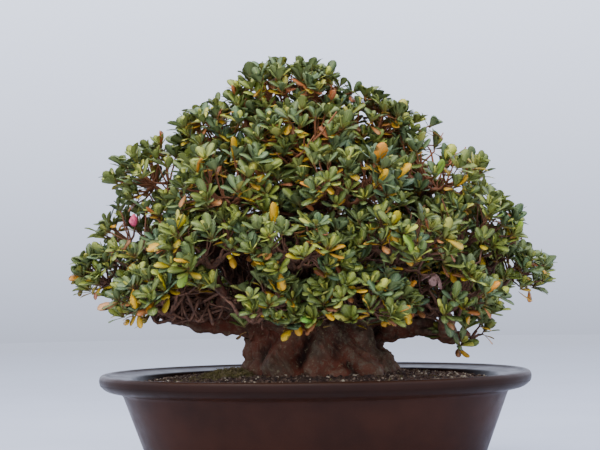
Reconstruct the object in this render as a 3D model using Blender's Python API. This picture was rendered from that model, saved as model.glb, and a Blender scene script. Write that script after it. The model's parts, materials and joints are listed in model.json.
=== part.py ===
"""Satsuki azalea bonsai in an oval, unglazed stoneware pot.

Blender 4.5, metres, +Z up. The origin is the point on the standing surface under the
middle of the bonsai, +X runs to the viewer's right and -Y is the bonsai's front.
"""

import math
import random

import bmesh
import bpy
from mathutils import Matrix, Vector, noise
from mathutils.bvhtree import BVHTree

MM = 0.001
SEED = 11

# The pot: half sizes of the rim, then (inset from the rim, height) up the outside,
# over the dished lip and down the inside to the floor.
RIM_HALF_LENGTH = 250 * MM
RIM_HALF_DEPTH = 190 * MM
RIM_HEIGHT = 118 * MM
OVAL_POWER = 2.15
OVAL_SIDES = 36
BASE_UNDERSIDE = 12 * MM
FLOOR_HEIGHT = 24 * MM
POT_PROFILE_MM = [
    (60.0, 12.0),
    (54.0, 17.0),
    (27.7, 94.0),
    (24.0, 97.5),
    (11.6, 99.8),
    (3.5, 104.5),
    (0.0, 111.0),
    (2.5, 116.0),
    (7.0, 118.0),
    (10.5, 115.8),
    (36.0, 113.2),
    (39.5, 111.0),
    (42.0, 104.0),
    (64.0, 27.0),
    (68.0, 24.0),
]
WALL_PROFILE_MM = POT_PROFILE_MM[11:]
FOOT_OUTER_INSET = 63 * MM
FOOT_INNER_INSET = 80 * MM
FOOT_SPREAD = 2 * MM
FOOT_END_GAP = 70 * MM
FOOT_SIDE_GAP = 92 * MM
DRAIN_X = 95 * MM
DRAIN_RADIUS = 13 * MM
DRAIN_SIDES = 16

# The plastic screens that lie over the drain holes.
SCREEN_SIZE = 46 * MM
SCREEN_THICK = 1.2 * MM
SCREEN_HOLES = 3
SCREEN_HOLE = 8 * MM

# The soil: its crown stands at the trunk, a little over the lip.
SOIL_AT_WALL = 107 * MM
SOIL_AT_TRUNK = 118 * MM
SOIL_ROUGHNESS = 1.2 * MM
SOIL_RINGS = (0.0, 0.32, 0.68, 1.0)
FIT_GAP = 0.3 * MM
SIDE_GAP = 0.45 * MM
MOSS_PATCHES_MM = {
    "moss_left": (-101, -34, 34, 22, 11),
    "moss_back": (52, 92, 40, 22, 9),
}

# The trunk: (height, middle x, middle y, half width x, half width y), from the foot of
# the root plug to the crown where the limbs part.
TRUNK_RINGS_MM = [
    (88.5, 3.5, 0, 84, 62),
    (121.5, 3.5, 0, 84, 62),
    (131, 1.5, 0, 82, 60),
    (145, -1.5, 0, 79, 56),
    (160, -0.5, 0, 76, 52),
    (172, 6, 0, 70, 47),
    (186, 8, 0, 64, 43),
    (204, 2, 0, 50, 35),
    (222, -4, 0, 34, 26),
]
ROOT_LOBES = 5
ROOT_DEPTH = 0.085
FOLD_COUNT = 9
FOLD_DEPTH = 0.035
FOLD_TWIST = 5.5
CLEARANCE = 0.4 * MM

# The limbs, each a list of (x, y, z, radius) chosen along its run.
LIMBS_MM = {
    "leader": [
        (-2, 0, 195, 30), (-16, 4, 250, 21), (-28, 2, 308, 15), (-18, -4, 362, 11), (-22, -4, 412, 7),
    ],
    "left_low": [
        (-40, -8, 168, 20), (-88, -14, 179, 15), (-132, -18, 176, 12), (-170, -14, 190, 9), (-206, -8, 208, 6),
    ],
    "left_high": [(-36, 2, 188, 19), (-82, 8, 222, 14), (-120, 6, 266, 10.5), (-146, 0, 318, 7)],
    "right_low": [
        (50, -6, 170, 19), (98, -12, 171, 14), (132, -10, 184, 11), (168, -4, 202, 8), (200, 2, 218, 6),
    ],
    "right_drop": [(92, -18, 170, 9.5), (128, -38, 166, 7.5), (158, -46, 158, 5)],
    "right_high": [(40, 2, 190, 19), (78, 8, 228, 14), (112, 4, 276, 10.5), (134, -2, 324, 7)],
    "front_left": [(-26, -28, 178, 17), (-60, -72, 194, 12), (-104, -104, 204, 8)],
    "front_mid": [(4, -30, 182, 17), (2, -80, 202, 12), (-12, -124, 236, 8)],
    "front_right": [(32, -28, 178, 16), (70, -72, 190, 12), (108, -104, 204, 8)],
    "back_left": [(-26, 28, 182, 16), (-66, 74, 202, 12), (-100, 104, 240, 8)],
    "back_mid": [(4, 30, 184, 16), (12, 82, 206, 12), (12, 118, 246, 8)],
    "back_right": [(34, 26, 182, 16), (74, 68, 200, 12), (112, 92, 236, 8)],
    "front_rise": [(-22, 2, 286, 12), (-16, -48, 304, 9), (-8, -88, 322, 6)],
    "back_rise": [(-22, 2, 290, 12), (-8, 46, 310, 9), (2, 70, 340, 6)],
}
BOUGH_TIP_RADIUS = 3.4 * MM
BOUGH_ROOT_RADIUS = 6.0 * MM
BOUGH_STEPS = 3
HOLD_DEPTH = 0.30

# The leafy sprays: middle (x, y, z) and half sizes (x, y, z) out to the leaf tips.
SPRAYS_MM = {
    "top_apex": (-24, -4, 432, 56, 52, 38),
    "top_left": (-92, -6, 388, 60, 54, 38),
    "top_front": (-12, -64, 380, 60, 50, 38),
    "top_right": (58, -2, 390, 60, 54, 38),
    "top_back": (-16, 64, 384, 60, 50, 38),
    "upper_left": (-160, 2, 336, 66, 58, 40),
    "upper_left_front": (-92, -94, 326, 64, 54, 40),
    "upper_right_front": (40, -116, 324, 64, 54, 40),
    "upper_right": (136, -20, 342, 64, 58, 40),
    "upper_right_back": (76, 92, 336, 64, 54, 40),
    "upper_left_back": (-72, 102, 332, 64, 54, 40),
    "mid_left": (-188, -30, 272, 62, 56, 38),
    "mid_front_left": (-112, -126, 258, 62, 52, 38),
    "mid_front": (-20, -156, 254, 62, 48, 38),
    "mid_front_right": (90, -140, 260, 62, 52, 38),
    "mid_right": (174, -40, 278, 62, 56, 38),
    "mid_right_back": (148, 84, 276, 62, 54, 38),
    "mid_back": (34, 150, 276, 62, 50, 38),
    "mid_left_back": (-128, 112, 272, 62, 54, 38),
    "low_left": (-214, -6, 222, 60, 58, 34),
    "low_left_front": (-162, -108, 204, 60, 52, 34),
    "low_front_left": (-68, -152, 196, 58, 48, 34),
    "low_front_right": (46, -154, 198, 58, 48, 34),
    "low_right_front": (144, -110, 204, 60, 52, 34),
    "low_right": (211, -2, 226, 60, 58, 34),
    "low_right_back": (168, 100, 214, 60, 54, 34),
    "low_back_right": (70, 152, 216, 60, 48, 34),
    "low_back_left": (-54, 154, 216, 60, 48, 34),
    "low_left_back": (-168, 94, 216, 60, 54, 34),
    "low_right_drop": (176, -42, 160, 38, 32, 18),
}
CORE_SHARE = 0.66
CORE_TUFT = 0.22
CORE_BUMPS = 0.2
CORE_FLATNESS = 0.9
CORE_SEGMENTS = 8
CORE_RINGS = 4

# The rosettes of leaves that end each shoot, and the two blooms among them.
LEAF = {
    "length": 42 * MM,
    "width": 16.5 * MM,
    "thick": 1.5 * MM,
    "rise": (24, 52),
    "droop": (12, 34),
    "old_share": 0.10,
}
PETAL = {
    "length": 19 * MM,
    "width": 12 * MM,
    "thick": 1.2 * MM,
    "rise": (68, 80),
    "droop": (-8, 24),
    "old_share": 0.0,
}
ROSETTES = 82
SHOOT_SITES = 40
LEAF_COUNTS = (5, 6)
LEAF_CLEARANCE = 0.7 * MM
HUB_RADIUS = 1.9 * MM
HUB_TOP = 0.6 * MM
HUB_DEPTH = 1.0 * MM
BUD_HEIGHT = 3.5 * MM
SHOOT_LENGTH = 8 * MM
SHOOT_ROOT = 15 * MM
SHOOT_UPTURN = 0.7
CORE_ELBOW_ROOM = 37 * MM
CROWN_HEART_MM = (0, 0, 200)
TRIES = 16
FIRST_SHOOTS = [
    ("flower_bud", "mid_left", (-0.25, -0.9, 0.25)),
    ("withered_bloom", "low_right_front", (-0.2, -0.9, 0.2)),
    ("left_tip", "low_left", (-1, 0.05, 0.12)),
    ("right_tip", "low_right", (1, 0.05, 0.12)),
    ("front_tip", "mid_front", (0.1, -1, 0.12)),
    ("back_tip", "mid_back", (0.1, 1, 0.12)),
    ("apex_tip", "top_apex", (0.05, 0.05, 1)),
    ("apex_front", "top_apex", (0.5, -0.75, 0.4)),
    ("apex_left", "top_apex", (-0.9, -0.1, 0.4)),
    ("apex_right", "top_apex", (0.8, 0.5, 0.4)),
]
BUD_RINGS_MM = [(0, 0.8), (4, 3.6), (8.5, 4.4), (13, 2.6), (16, 0.5)]
FIRST_SCALE = 0.9
BUD_SIDES = 5
BUD_TWIST = 0.06
BLOOM_CALYX = 4 * MM

# Colours, as linear RGB.
COLOURS = {
    "clay": ((0.055, 0.026, 0.020), 0.48),
    "soil": ((0.045, 0.030, 0.020), 0.95),
    "moss": ((0.075, 0.085, 0.018), 0.95),
    "screen": ((0.010, 0.012, 0.011), 0.55),
    "bark": ((0.075, 0.038, 0.024), 0.85),
    "leaf": ((0.060, 0.115, 0.045), 0.42),
    "leaf_yellow": ((0.620, 0.330, 0.020), 0.45),
    "bloom_pink": ((0.640, 0.060, 0.130), 0.50),
    "bloom_faded": ((0.300, 0.140, 0.110), 0.70),
}


def clear_scene():
    """Removes every object that the file opened with."""
    for old in list(bpy.data.objects):
        bpy.data.objects.remove(old, do_unlink=True)


def make_material(name):
    """A Principled material of the named colour."""
    colour, roughness = COLOURS[name]
    material = bpy.data.materials.new(name)
    material.use_nodes = True
    shader = material.node_tree.nodes["Principled BSDF"]
    shader.inputs["Base Color"].default_value = (*colour, 1)
    shader.inputs["Roughness"].default_value = roughness
    material.diffuse_color = (*colour, 1)
    return material


def new_collection(name):
    """A collection linked to the scene."""
    collection = bpy.data.collections.new(name)
    bpy.context.scene.collection.children.link(collection)
    return collection


def object_from(shape, name, collection, materials=()):
    """Turns a bmesh into an object and frees the bmesh."""
    mesh = bpy.data.meshes.new(name)
    shape.to_mesh(mesh)
    shape.free()
    for material in materials:
        mesh.materials.append(material)
    made = bpy.data.objects.new(name, mesh)
    collection.objects.link(made)
    return made


def loft(rings, close_first=True, close_last=True):
    """A closed bmesh skinned over rings that all have the same number of points."""
    shape = bmesh.new()
    rows = [[shape.verts.new(point) for point in ring] for ring in rings]
    for lower, upper in zip(rows, rows[1:]):
        for i in range(len(lower)):
            j = (i + 1) % len(lower)
            shape.faces.new((lower[i], lower[j], upper[j], upper[i]))
    if close_first:
        shape.faces.new(list(reversed(rows[0])))
    if close_last:
        shape.faces.new(rows[-1])
    bmesh.ops.recalc_face_normals(shape, faces=shape.faces)
    return shape


def box_between(low, high, name, collection):
    """A box object between two corners."""
    shape = bmesh.new()
    size = Vector(high) - Vector(low)
    middle = (Vector(high) + Vector(low)) / 2
    bmesh.ops.create_cube(shape, size=1, matrix=Matrix.Translation(middle) @ Matrix.Diagonal((*size, 1)))
    return object_from(shape, name, collection)


def apply_boolean(target, operation, other, solver="EXACT"):
    """Cuts or joins an object, or every object of a collection, and applies the result."""
    modifier = target.modifiers.new(operation.lower(), "BOOLEAN")
    modifier.operation = operation
    modifier.solver = solver
    if isinstance(other, bpy.types.Collection):
        modifier.operand_type = "COLLECTION"
        modifier.collection = other
    else:
        modifier.object = other
    graph = bpy.context.evaluated_depsgraph_get()
    result = bpy.data.meshes.new_from_object(target.evaluated_get(graph))
    target.modifiers.clear()
    target.data = result


def discard(collection):
    """Removes a collection of tools and what it holds."""
    for tool in list(collection.objects):
        bpy.data.objects.remove(tool, do_unlink=True)
    bpy.data.collections.remove(collection)


def keep_largest_body(target):
    """Drops the loose scraps that a Boolean left beside the main body."""
    shape = bmesh.new()
    shape.from_mesh(target.data)
    unseen = set(shape.verts)
    bodies = []
    while unseen:
        stack = [unseen.pop()]
        body = set(stack)
        while stack:
            for edge in stack.pop().link_edges:
                for vert in edge.verts:
                    if vert in unseen:
                        unseen.remove(vert)
                        body.add(vert)
                        stack.append(vert)
        bodies.append(body)
    bodies.sort(key=len)
    for body in bodies[:-1]:
        bmesh.ops.delete(shape, geom=list(body), context="VERTS")
    shape.to_mesh(target.data)
    shape.free()


def shade_smooth(target, degrees=40):
    """Smooth shading with the sharp edges kept."""
    target.data.shade_smooth()
    target.data.set_sharp_from_angle(angle=math.radians(degrees))


# The pot and what it holds


def oval_point(index, inset, height):
    """A point of the pot's oval, drawn in from the rim by the inset."""
    turn = math.tau * index / OVAL_SIDES
    c, s = math.cos(turn), math.sin(turn)
    x = math.copysign(abs(c) ** (2 / OVAL_POWER), c) * (RIM_HALF_LENGTH - inset)
    y = math.copysign(abs(s) ** (2 / OVAL_POWER), s) * (RIM_HALF_DEPTH - inset)
    return Vector((x, y, height))


def oval_ring(inset, height):
    """One ring of the pot's oval."""
    return [oval_point(i, inset, height) for i in range(OVAL_SIDES)]


def wall_inset(height):
    """The inset of the pot's inner wall at a height."""
    for (inset_a, top), (inset_b, bottom) in zip(WALL_PROFILE_MM, WALL_PROFILE_MM[1:]):
        if bottom * MM <= height <= top * MM:
            share = (top * MM - height) / ((top - bottom) * MM)
            return (inset_a + (inset_b - inset_a) * share) * MM
    return WALL_PROFILE_MM[-1][0] * MM


def build_pot(collection, material):
    """The fired pot in one piece: wall, dished lip, four corner feet and two drain holes."""
    rings = [oval_ring(inset * MM, height * MM) for inset, height in POT_PROFILE_MM]
    pot = object_from(loft(rings), "pot", collection, [material])

    tools = new_collection("pot_tools")
    overlap = 1 * MM
    skirt = [
        oval_ring(FOOT_OUTER_INSET + FOOT_SPREAD, 0),
        oval_ring(FOOT_OUTER_INSET, BASE_UNDERSIDE + overlap),
        oval_ring(FOOT_INNER_INSET, BASE_UNDERSIDE + overlap),
        oval_ring(FOOT_INNER_INSET + FOOT_SPREAD, 0),
    ]
    feet = object_from(loft([*skirt, skirt[0]], False, False), "feet", tools)
    weld(feet)
    gap_top = BASE_UNDERSIDE + overlap / 2
    reach = RIM_HALF_LENGTH
    gaps = new_collection("foot_gaps")
    box_between((-reach, -FOOT_END_GAP, -reach), (reach, FOOT_END_GAP, gap_top), "end_gap", gaps)
    box_between((-FOOT_SIDE_GAP, -reach, -reach), (FOOT_SIDE_GAP, reach, gap_top), "side_gap", gaps)
    apply_boolean(feet, "DIFFERENCE", gaps)
    discard(gaps)
    apply_boolean(pot, "UNION", feet)
    for side in (-1, 1):
        shape = bmesh.new()
        bmesh.ops.create_cone(
            shape,
            cap_ends=True,
            segments=DRAIN_SIDES,
            radius1=DRAIN_RADIUS,
            radius2=DRAIN_RADIUS,
            depth=2 * FLOOR_HEIGHT,
            matrix=Matrix.Translation((side * DRAIN_X, 0, BASE_UNDERSIDE)),
        )
        apply_boolean(pot, "DIFFERENCE", object_from(shape, "drain", tools))
    discard(tools)
    shade_smooth(pot, 35)
    return pot


def weld(target, distance=0.01 * MM):
    """Merges the doubled points of an object and turns its faces outwards."""
    shape = bmesh.new()
    shape.from_mesh(target.data)
    bmesh.ops.remove_doubles(shape, verts=shape.verts, dist=distance)
    bmesh.ops.recalc_face_normals(shape, faces=shape.faces)
    shape.to_mesh(target.data)
    shape.free()


def build_screens(collection, material):
    """A square plastic screen over each drain hole, with a grid of square holes."""
    for name, side in (("drain_screen_left", -1), ("drain_screen_right", 1)):
        low = Vector((side * DRAIN_X - SCREEN_SIZE / 2, -SCREEN_SIZE / 2, FLOOR_HEIGHT + FIT_GAP))
        high = low + Vector((SCREEN_SIZE, SCREEN_SIZE, SCREEN_THICK))
        screen = box_between(low, high, name, collection)
        screen.data.materials.append(material)
        pitch = SCREEN_SIZE / (SCREEN_HOLES + 0.6)
        tools = new_collection("screen_tools")
        for i in range(SCREEN_HOLES):
            for j in range(SCREEN_HOLES):
                middle = Vector((side * DRAIN_X, 0, low.z)) + Vector(
                    ((i - (SCREEN_HOLES - 1) / 2) * pitch, (j - (SCREEN_HOLES - 1) / 2) * pitch, 0)
                )
                half = Vector((SCREEN_HOLE / 2, SCREEN_HOLE / 2, 5 * SCREEN_THICK))
                box_between(middle - half, middle + half, "hole", tools)
        apply_boolean(screen, "DIFFERENCE", tools)
        discard(tools)


def root_outline(index, ring, extra=0.0):
    """A point of the trunk's section: an oval with buttress roots and folds that twist upwards."""
    height, mid_x, mid_y, half_x, half_y = (value * MM for value in ring)
    turn = math.tau * index / OVAL_SIDES
    rise = max(0.0, height - TRUNK_RINGS_MM[1][0] * MM) / (100 * MM)
    fade = max(0.25, 1 - rise)
    lobes = ROOT_DEPTH * fade * math.cos(ROOT_LOBES * turn - 0.9 + 1.4 * rise)
    folds = FOLD_DEPTH * math.cos(FOLD_COUNT * turn + 1.2 + FOLD_TWIST * rise)
    knob = 0.05 * fade * math.cos(2 * turn + 2.2)
    grow = 1 + lobes + folds + knob
    return Vector(
        (
            mid_x + (half_x * grow + extra) * math.cos(turn),
            mid_y + (half_y * grow + extra) * math.sin(turn),
            height,
        )
    )


def trunk_rings(extra=0.0):
    """The rings of the trunk, grown outwards by the extra."""
    rings = [[root_outline(i, ring, extra) for i in range(OVAL_SIDES)] for ring in TRUNK_RINGS_MM]
    lift = Vector((0, 0, extra))
    rings[0] = [point - lift for point in rings[0]]
    rings[-1] = [point + lift for point in rings[-1]]
    return rings


def soil_height(x, y, share):
    """The soil's height, falling from the trunk (share 0) to the wall (share 1)."""
    crown = SOIL_AT_TRUNK + (SOIL_AT_WALL - SOIL_AT_TRUNK) * share**1.4
    rough = noise.noise(Vector((x, y, 0)) / (22 * MM)) * SOIL_ROUGHNESS
    return crown + rough * math.sin(math.pi * min(1, share + 0.15))


def build_soil(collection, material):
    """The soil: fills the pot, with a plain hole for the root plug and seats for the screens."""
    hole = [root_outline(i, TRUNK_RINGS_MM[0], SIDE_GAP) for i in range(OVAL_SIDES)]
    wall = oval_ring(wall_inset(SOIL_AT_WALL) + SIDE_GAP, SOIL_AT_WALL)
    hole_floor = TRUNK_RINGS_MM[0][0] * MM - FIT_GAP
    rings = [[Vector((p.x, p.y, hole_floor)) for p in hole]]
    for share in SOIL_RINGS:
        ring = []
        for inner, outer in zip(hole, wall):
            flat = inner.lerp(outer, share)
            ring.append(Vector((flat.x, flat.y, soil_height(flat.x, flat.y, share))))
        rings.append(ring)
    low_wall = 27 * MM
    rings.append(oval_ring(wall_inset(low_wall) + SIDE_GAP, low_wall))
    rings.append(oval_ring(wall_inset(FLOOR_HEIGHT) + SIDE_GAP, FLOOR_HEIGHT + FIT_GAP))
    soil = object_from(loft(rings), "soil", collection, [material])
    tools = new_collection("soil_tools")
    seat = SCREEN_SIZE / 2 + FIT_GAP
    seat_top = FLOOR_HEIGHT + SCREEN_THICK + 2 * FIT_GAP
    for side in (-1, 1):
        middle = side * DRAIN_X
        box_between((middle - seat, -seat, 0), (middle + seat, seat, seat_top), "seat", tools)
    apply_boolean(soil, "DIFFERENCE", tools)
    discard(tools)
    return soil


def build_moss(collection, material, soil, clearance):
    """Low cushions of moss that lie on the soil, clear of the trunk."""
    for name, (x, y, half_x, half_y, height) in MOSS_PATCHES_MM.items():
        shape = bmesh.new()
        size = Matrix.Diagonal((half_x * MM, half_y * MM, height * MM, 1))
        place = Matrix.Translation((x * MM, y * MM, SOIL_AT_TRUNK - 3 * MM))
        bmesh.ops.create_uvsphere(shape, u_segments=12, v_segments=6, radius=1, matrix=place @ size)
        for vert in shape.verts:
            vert.co += vert.normal * noise.noise(vert.co / (12 * MM)) * 3 * MM
        moss = object_from(shape, name, collection, [material])
        tools = new_collection("moss_tools")
        floor = bpy.data.objects.new("floor", soil.data.copy())
        floor.data.transform(Matrix.Translation((0, 0, FIT_GAP)))
        tools.objects.link(floor)
        apply_boolean(moss, "DIFFERENCE", floor)
        discard(tools)
        apply_boolean(moss, "DIFFERENCE", clearance)
        keep_largest_body(moss)


# The wood


def limb_points(name):
    """A limb's run as (point, radius) pairs in metres."""
    return [(Vector(row[:3]) * MM, row[3] * MM) for row in LIMBS_MM[name]]


def nearest_on_limbs(target):
    """The place to branch from: the nearest point of any limb that lies below the target."""
    best = None
    for name in LIMBS_MM:
        run = limb_points(name)
        for (start, r_start), (end, r_end) in zip(run, run[1:]):
            for share in (0.06, 0.3, 0.55, 0.8):
                point = start.lerp(end, share)
                above = max(0.0, point.z - target.z + 10 * MM)
                cost = (target - point).length + 4 * above
                if best is None or cost < best[0]:
                    best = (cost, point, r_start + (r_end - r_start) * share)
    return best[1], best[2]


def spray_frame(name):
    """A spray's middle and half sizes in metres."""
    row = SPRAYS_MM[name]
    return Vector(row[:3]) * MM, Vector(row[3:]) * MM


def core_half(name):
    """Half sizes of the twiggy core that a spray's leaves stand out of."""
    half = spray_frame(name)[1]
    return Vector((half.x, half.y, half.z)) * CORE_SHARE


def bough_run(name):
    """The bough that carries a spray: it leaves its limb sideways and rises into the core."""
    middle, _ = spray_frame(name)
    tip = middle - Vector((0, 0, core_half(name).z * HOLD_DEPTH))
    root, limb_radius = nearest_on_limbs(tip)
    bend = Vector(((root.x + 2 * tip.x) / 3, (root.y + 2 * tip.y) / 3, root.z + 0.35 * (tip.z - root.z)))
    thick = min(BOUGH_ROOT_RADIUS, 0.8 * limb_radius)
    run = []
    for step in range(BOUGH_STEPS + 1):
        t = step / BOUGH_STEPS
        point = root * (1 - t) ** 2 + bend * 2 * t * (1 - t) + tip * t * t
        run.append((point, thick + (BOUGH_TIP_RADIUS - thick) * t))
    return run


def tube_object(run, name, collection, extra=0.0):
    """A round, tapering stick along a run, grown by the extra, as a closed mesh."""
    curve = bpy.data.curves.new(name, "CURVE")
    curve.dimensions = "3D"
    curve.bevel_depth = 1.0
    curve.bevel_resolution = 1
    curve.use_fill_caps = True
    spline = curve.splines.new("POLY")
    spline.points.add(len(run) - 1)
    for point, (place, radius) in zip(spline.points, run):
        point.co = (*place, 1)
        point.radius = radius + extra
    first_end = run[0][0] + (run[0][0] - run[1][0]).normalized() * extra
    last_end = run[-1][0] + (run[-1][0] - run[-2][0]).normalized() * extra
    spline.points[0].co = (*first_end, 1)
    spline.points[-1].co = (*last_end, 1)
    drawn = bpy.data.objects.new(name, curve)
    collection.objects.link(drawn)
    bpy.context.view_layer.update()
    graph = bpy.context.evaluated_depsgraph_get()
    mesh = bpy.data.meshes.new_from_object(drawn.evaluated_get(graph))
    bpy.data.objects.remove(drawn, do_unlink=True)
    stick = bpy.data.objects.new(name, mesh)
    collection.objects.link(stick)
    weld(stick)
    return stick


def build_wood(name, collection, material, extra=0.0):
    """The trunk, limbs and boughs, grown as one piece, or a clearance round them."""
    wood = object_from(loft(trunk_rings(extra)), name, collection, [material])
    tools = new_collection("wood_tools")
    for limb in LIMBS_MM:
        tube_object(limb_points(limb), limb, tools, extra)
    for spray in SPRAYS_MM:
        tube_object(bough_run(spray), spray, tools, extra)
    apply_boolean(wood, "UNION", tools)
    discard(tools)
    keep_largest_body(wood)
    return wood


# The leaves


def add_whorl(shape, kind, frame, blades, scale, root, swell, draw):
    """A whorl of blades round a hub with a bud in its middle, as one closed skin.

    The hub tapers to the root, which lies inside what the whorl grows from. Without a
    root, and with a swell, the whorl is a shape for testing clearances.
    """

    def vert(place):
        return shape.verts.new(frame @ Vector(place))

    hub = HUB_RADIUS + swell
    half_turn = math.pi / blades
    upper = []
    keel = []
    for i in range(blades):
        angle = 2 * half_turn * i
        c, s = math.cos(angle - half_turn), math.sin(angle - half_turn)
        upper.append(vert((hub * c, hub * s, HUB_TOP)))
        keel.append(vert((hub * math.cos(angle), hub * math.sin(angle), -HUB_DEPTH - swell)))
    bud = vert((0, 0, BUD_HEIGHT + swell))
    base = shape.verts.new(root) if root else vert((0, 0, -2 * HUB_DEPTH))
    up = Vector((0, 0, 1))
    for i in range(blades):
        j = (i + 1) % blades
        shape.faces.new((upper[i], upper[j], bud))
        shape.faces.new((upper[j], keel[i], keel[j]))
        shape.faces.new((keel[j], keel[i], base))
        angle = 2 * half_turn * i
        along = Vector((math.cos(angle), math.sin(angle), 0))
        side = up.cross(along)
        length = kind["length"] * scale * draw.uniform(0.84, 1.05) + swell
        half_width = kind["width"] / 2 * scale * draw.uniform(0.9, 1.05) + swell
        rise = math.radians(draw.uniform(*kind["rise"]))
        droop = math.radians(draw.uniform(*kind["droop"]))

        def middle(share):
            tilt = rise - droop * share
            out = hub + length * share * math.cos(tilt)
            return along * out + up * (length * share * math.sin(tilt))

        wing_a = side * half_width * 0.84
        wing_b = side * half_width * 0.92
        left_a, right_a = vert(middle(0.42) + wing_a), vert(middle(0.42) - wing_a)
        left_b, right_b = vert(middle(0.74) + wing_b), vert(middle(0.74) - wing_b)
        rib = vert(middle(0.42) - up * (kind["thick"] + 2 * swell))
        tip = vert(middle(1.0))
        faces = [
            (upper[i], right_a, left_a, upper[j]),
            (right_a, right_b, left_b, left_a),
            (right_b, tip, left_b),
            (upper[j], left_a, rib, keel[i]),
            (keel[i], rib, right_a, upper[i]),
            (rib, left_a, left_b),
            (rib, left_b, tip),
            (rib, tip, right_b),
            (rib, right_b, right_a),
        ]
        colour = 1 if draw.random() < kind["old_share"] else 0
        for corners in faces:
            shape.faces.new(corners).material_index = colour


def whorl_frame(site):
    """The placing of a site's whorl: at its place, along its axis, turned by its spin."""
    turn = site["axis"].to_track_quat("Z", "Y").to_matrix().to_4x4()
    return Matrix.Translation(site["place"]) @ turn @ Matrix.Rotation(site["spin"], 4, "Z")


def rosette_shape(site, swell=0.0):
    """The rosette of one site as its own bmesh; a swollen one has no shoot."""
    shape = bmesh.new()
    draw = random.Random(site["seed"])
    root = None if swell else site["root"]
    add_whorl(shape, LEAF, whorl_frame(site), site["leaves"], site["scale"], root, swell, draw)
    bmesh.ops.recalc_face_normals(shape, faces=shape.faces)
    bmesh.ops.triangulate(shape, faces=shape.faces)
    return shape


def build_bud(host, collection, material):
    """The last pink flower bud: a furled spindle that sits on its host's terminal bud."""
    rings = []
    for height, radius in BUD_RINGS_MM:
        ring = []
        for i in range(BUD_SIDES):
            turn = math.tau * i / BUD_SIDES + BUD_TWIST * height
            ring.append(Vector((radius * math.cos(turn), radius * math.sin(turn), height)) * MM)
        rings.append(ring)
    shape = loft(rings)
    seat = Matrix.Translation((0, 0, BUD_HEIGHT + FIT_GAP))
    shape.transform(whorl_frame(host) @ seat)
    return object_from(shape, "flower_bud", collection, [material])


def build_bloom(host, collection, material):
    """The withered bloom: five shrivelled petals that close round its host's terminal bud."""
    shape = bmesh.new()
    frame = whorl_frame(host) @ Matrix.Translation((0, 0, BUD_HEIGHT + FIT_GAP + BLOOM_CALYX))
    root = frame @ Vector((0, 0, -BLOOM_CALYX))
    add_whorl(shape, PETAL, frame, 5, 1.0, root, 0.0, random.Random(SEED))
    bmesh.ops.recalc_face_normals(shape, faces=shape.faces)
    bmesh.ops.triangulate(shape, faces=shape.faces)
    return object_from(shape, "withered_bloom", collection, [material])


def core_shape(name):
    """The twiggy core of a spray: a ball whose corners stand out and in by turns, like tufts."""
    middle, _ = spray_frame(name)
    half = core_half(name)
    shape = bmesh.new()
    bmesh.ops.create_uvsphere(shape, u_segments=CORE_SEGMENTS, v_segments=CORE_RINGS, radius=1)
    for vert in shape.verts:
        column = round(math.atan2(vert.co.y, vert.co.x) * CORE_SEGMENTS / math.tau)
        row = round(math.acos(max(-1.0, min(1.0, vert.co.z))) * CORE_RINGS / math.pi)
        at_pole = row in (0, CORE_RINGS)
        tuft = 1.0 if at_pole else 1 + CORE_TUFT * (-1) ** (column + row)
        tuft += CORE_BUMPS * noise.noise(vert.co * 1.7 + middle * 40)
        flat = CORE_FLATNESS if vert.co.z < 0 else 1.0
        vert.co = middle + Vector((vert.co.x * half.x, vert.co.y * half.y, vert.co.z * half.z * flat)) * tuft
    bmesh.ops.triangulate(shape, faces=shape.faces)
    return shape


def make_site(name, outward, core_test):
    """The end of a shoot that leaves a spray's core in a direction."""
    middle, _ = spray_frame(name)
    half = core_half(name)
    reach = Vector((outward.x * half.x, outward.y * half.y, outward.z * half.z))
    surface, normal, _, _ = core_test.ray_cast(middle + 3 * reach, -reach.normalized())
    axis = (normal + Vector((0, 0, SHOOT_UPTURN))).normalized()
    deep = middle - Vector((0, 0, 0.3 * half.z))
    root = surface.lerp(deep, min(0.8, SHOOT_ROOT / (surface - deep).length))
    return {"spray": name, "place": surface + axis * SHOOT_LENGTH, "axis": axis, "root": root}


def shoot_sites(core_tests):
    """The open-air ends of shoots round every core, with how far each faces out of the crown."""
    golden = math.pi * (3 - math.sqrt(5))
    heart = Vector(CROWN_HEART_MM) * MM
    middles = {name: spray_frame(name)[0] for name in SPRAYS_MM}
    sites = []
    for name, middle in middles.items():
        for i in range(SHOOT_SITES):
            z = 1 - 1.45 * (i + 0.5) / SHOOT_SITES
            ring = math.sqrt(max(0.0, 1 - z * z))
            angle = golden * i + middle.x * 50
            outward = Vector((ring * math.cos(angle), ring * math.sin(angle), z))
            site = make_site(name, outward, core_tests[name])
            others = [m for other, m in middles.items() if other != name]
            if min((site["place"] - m).length for m in others) < CORE_ELBOW_ROOM:
                continue
            site["facing"] = 0.65 + 0.35 * outward.dot((site["place"] - heart).normalized())
            sites.append(site)
    return sites


def is_clear(test, place, fixed, rosettes):
    """Whether a test shape misses the wood, the cores and the rosettes that stand near it."""
    if any(test.overlap(other) for other in fixed):
        return False
    return not any(
        test.overlap(other) for centre, other in rosettes if (centre - place).length < 3 * LEAF["length"]
    )


def test_shape(thing):
    """An object's surface, for testing what would touch it."""
    shape = bmesh.new()
    shape.from_mesh(thing.data)
    test = BVHTree.FromBMesh(shape)
    shape.free()
    return test


def swollen_test(site):
    """A site's rosette, a little swollen, for testing what it would touch."""
    shape = rosette_shape(site, swell=LEAF_CLEARANCE)
    test = BVHTree.FromBMesh(shape)
    shape.free()
    return test


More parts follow.
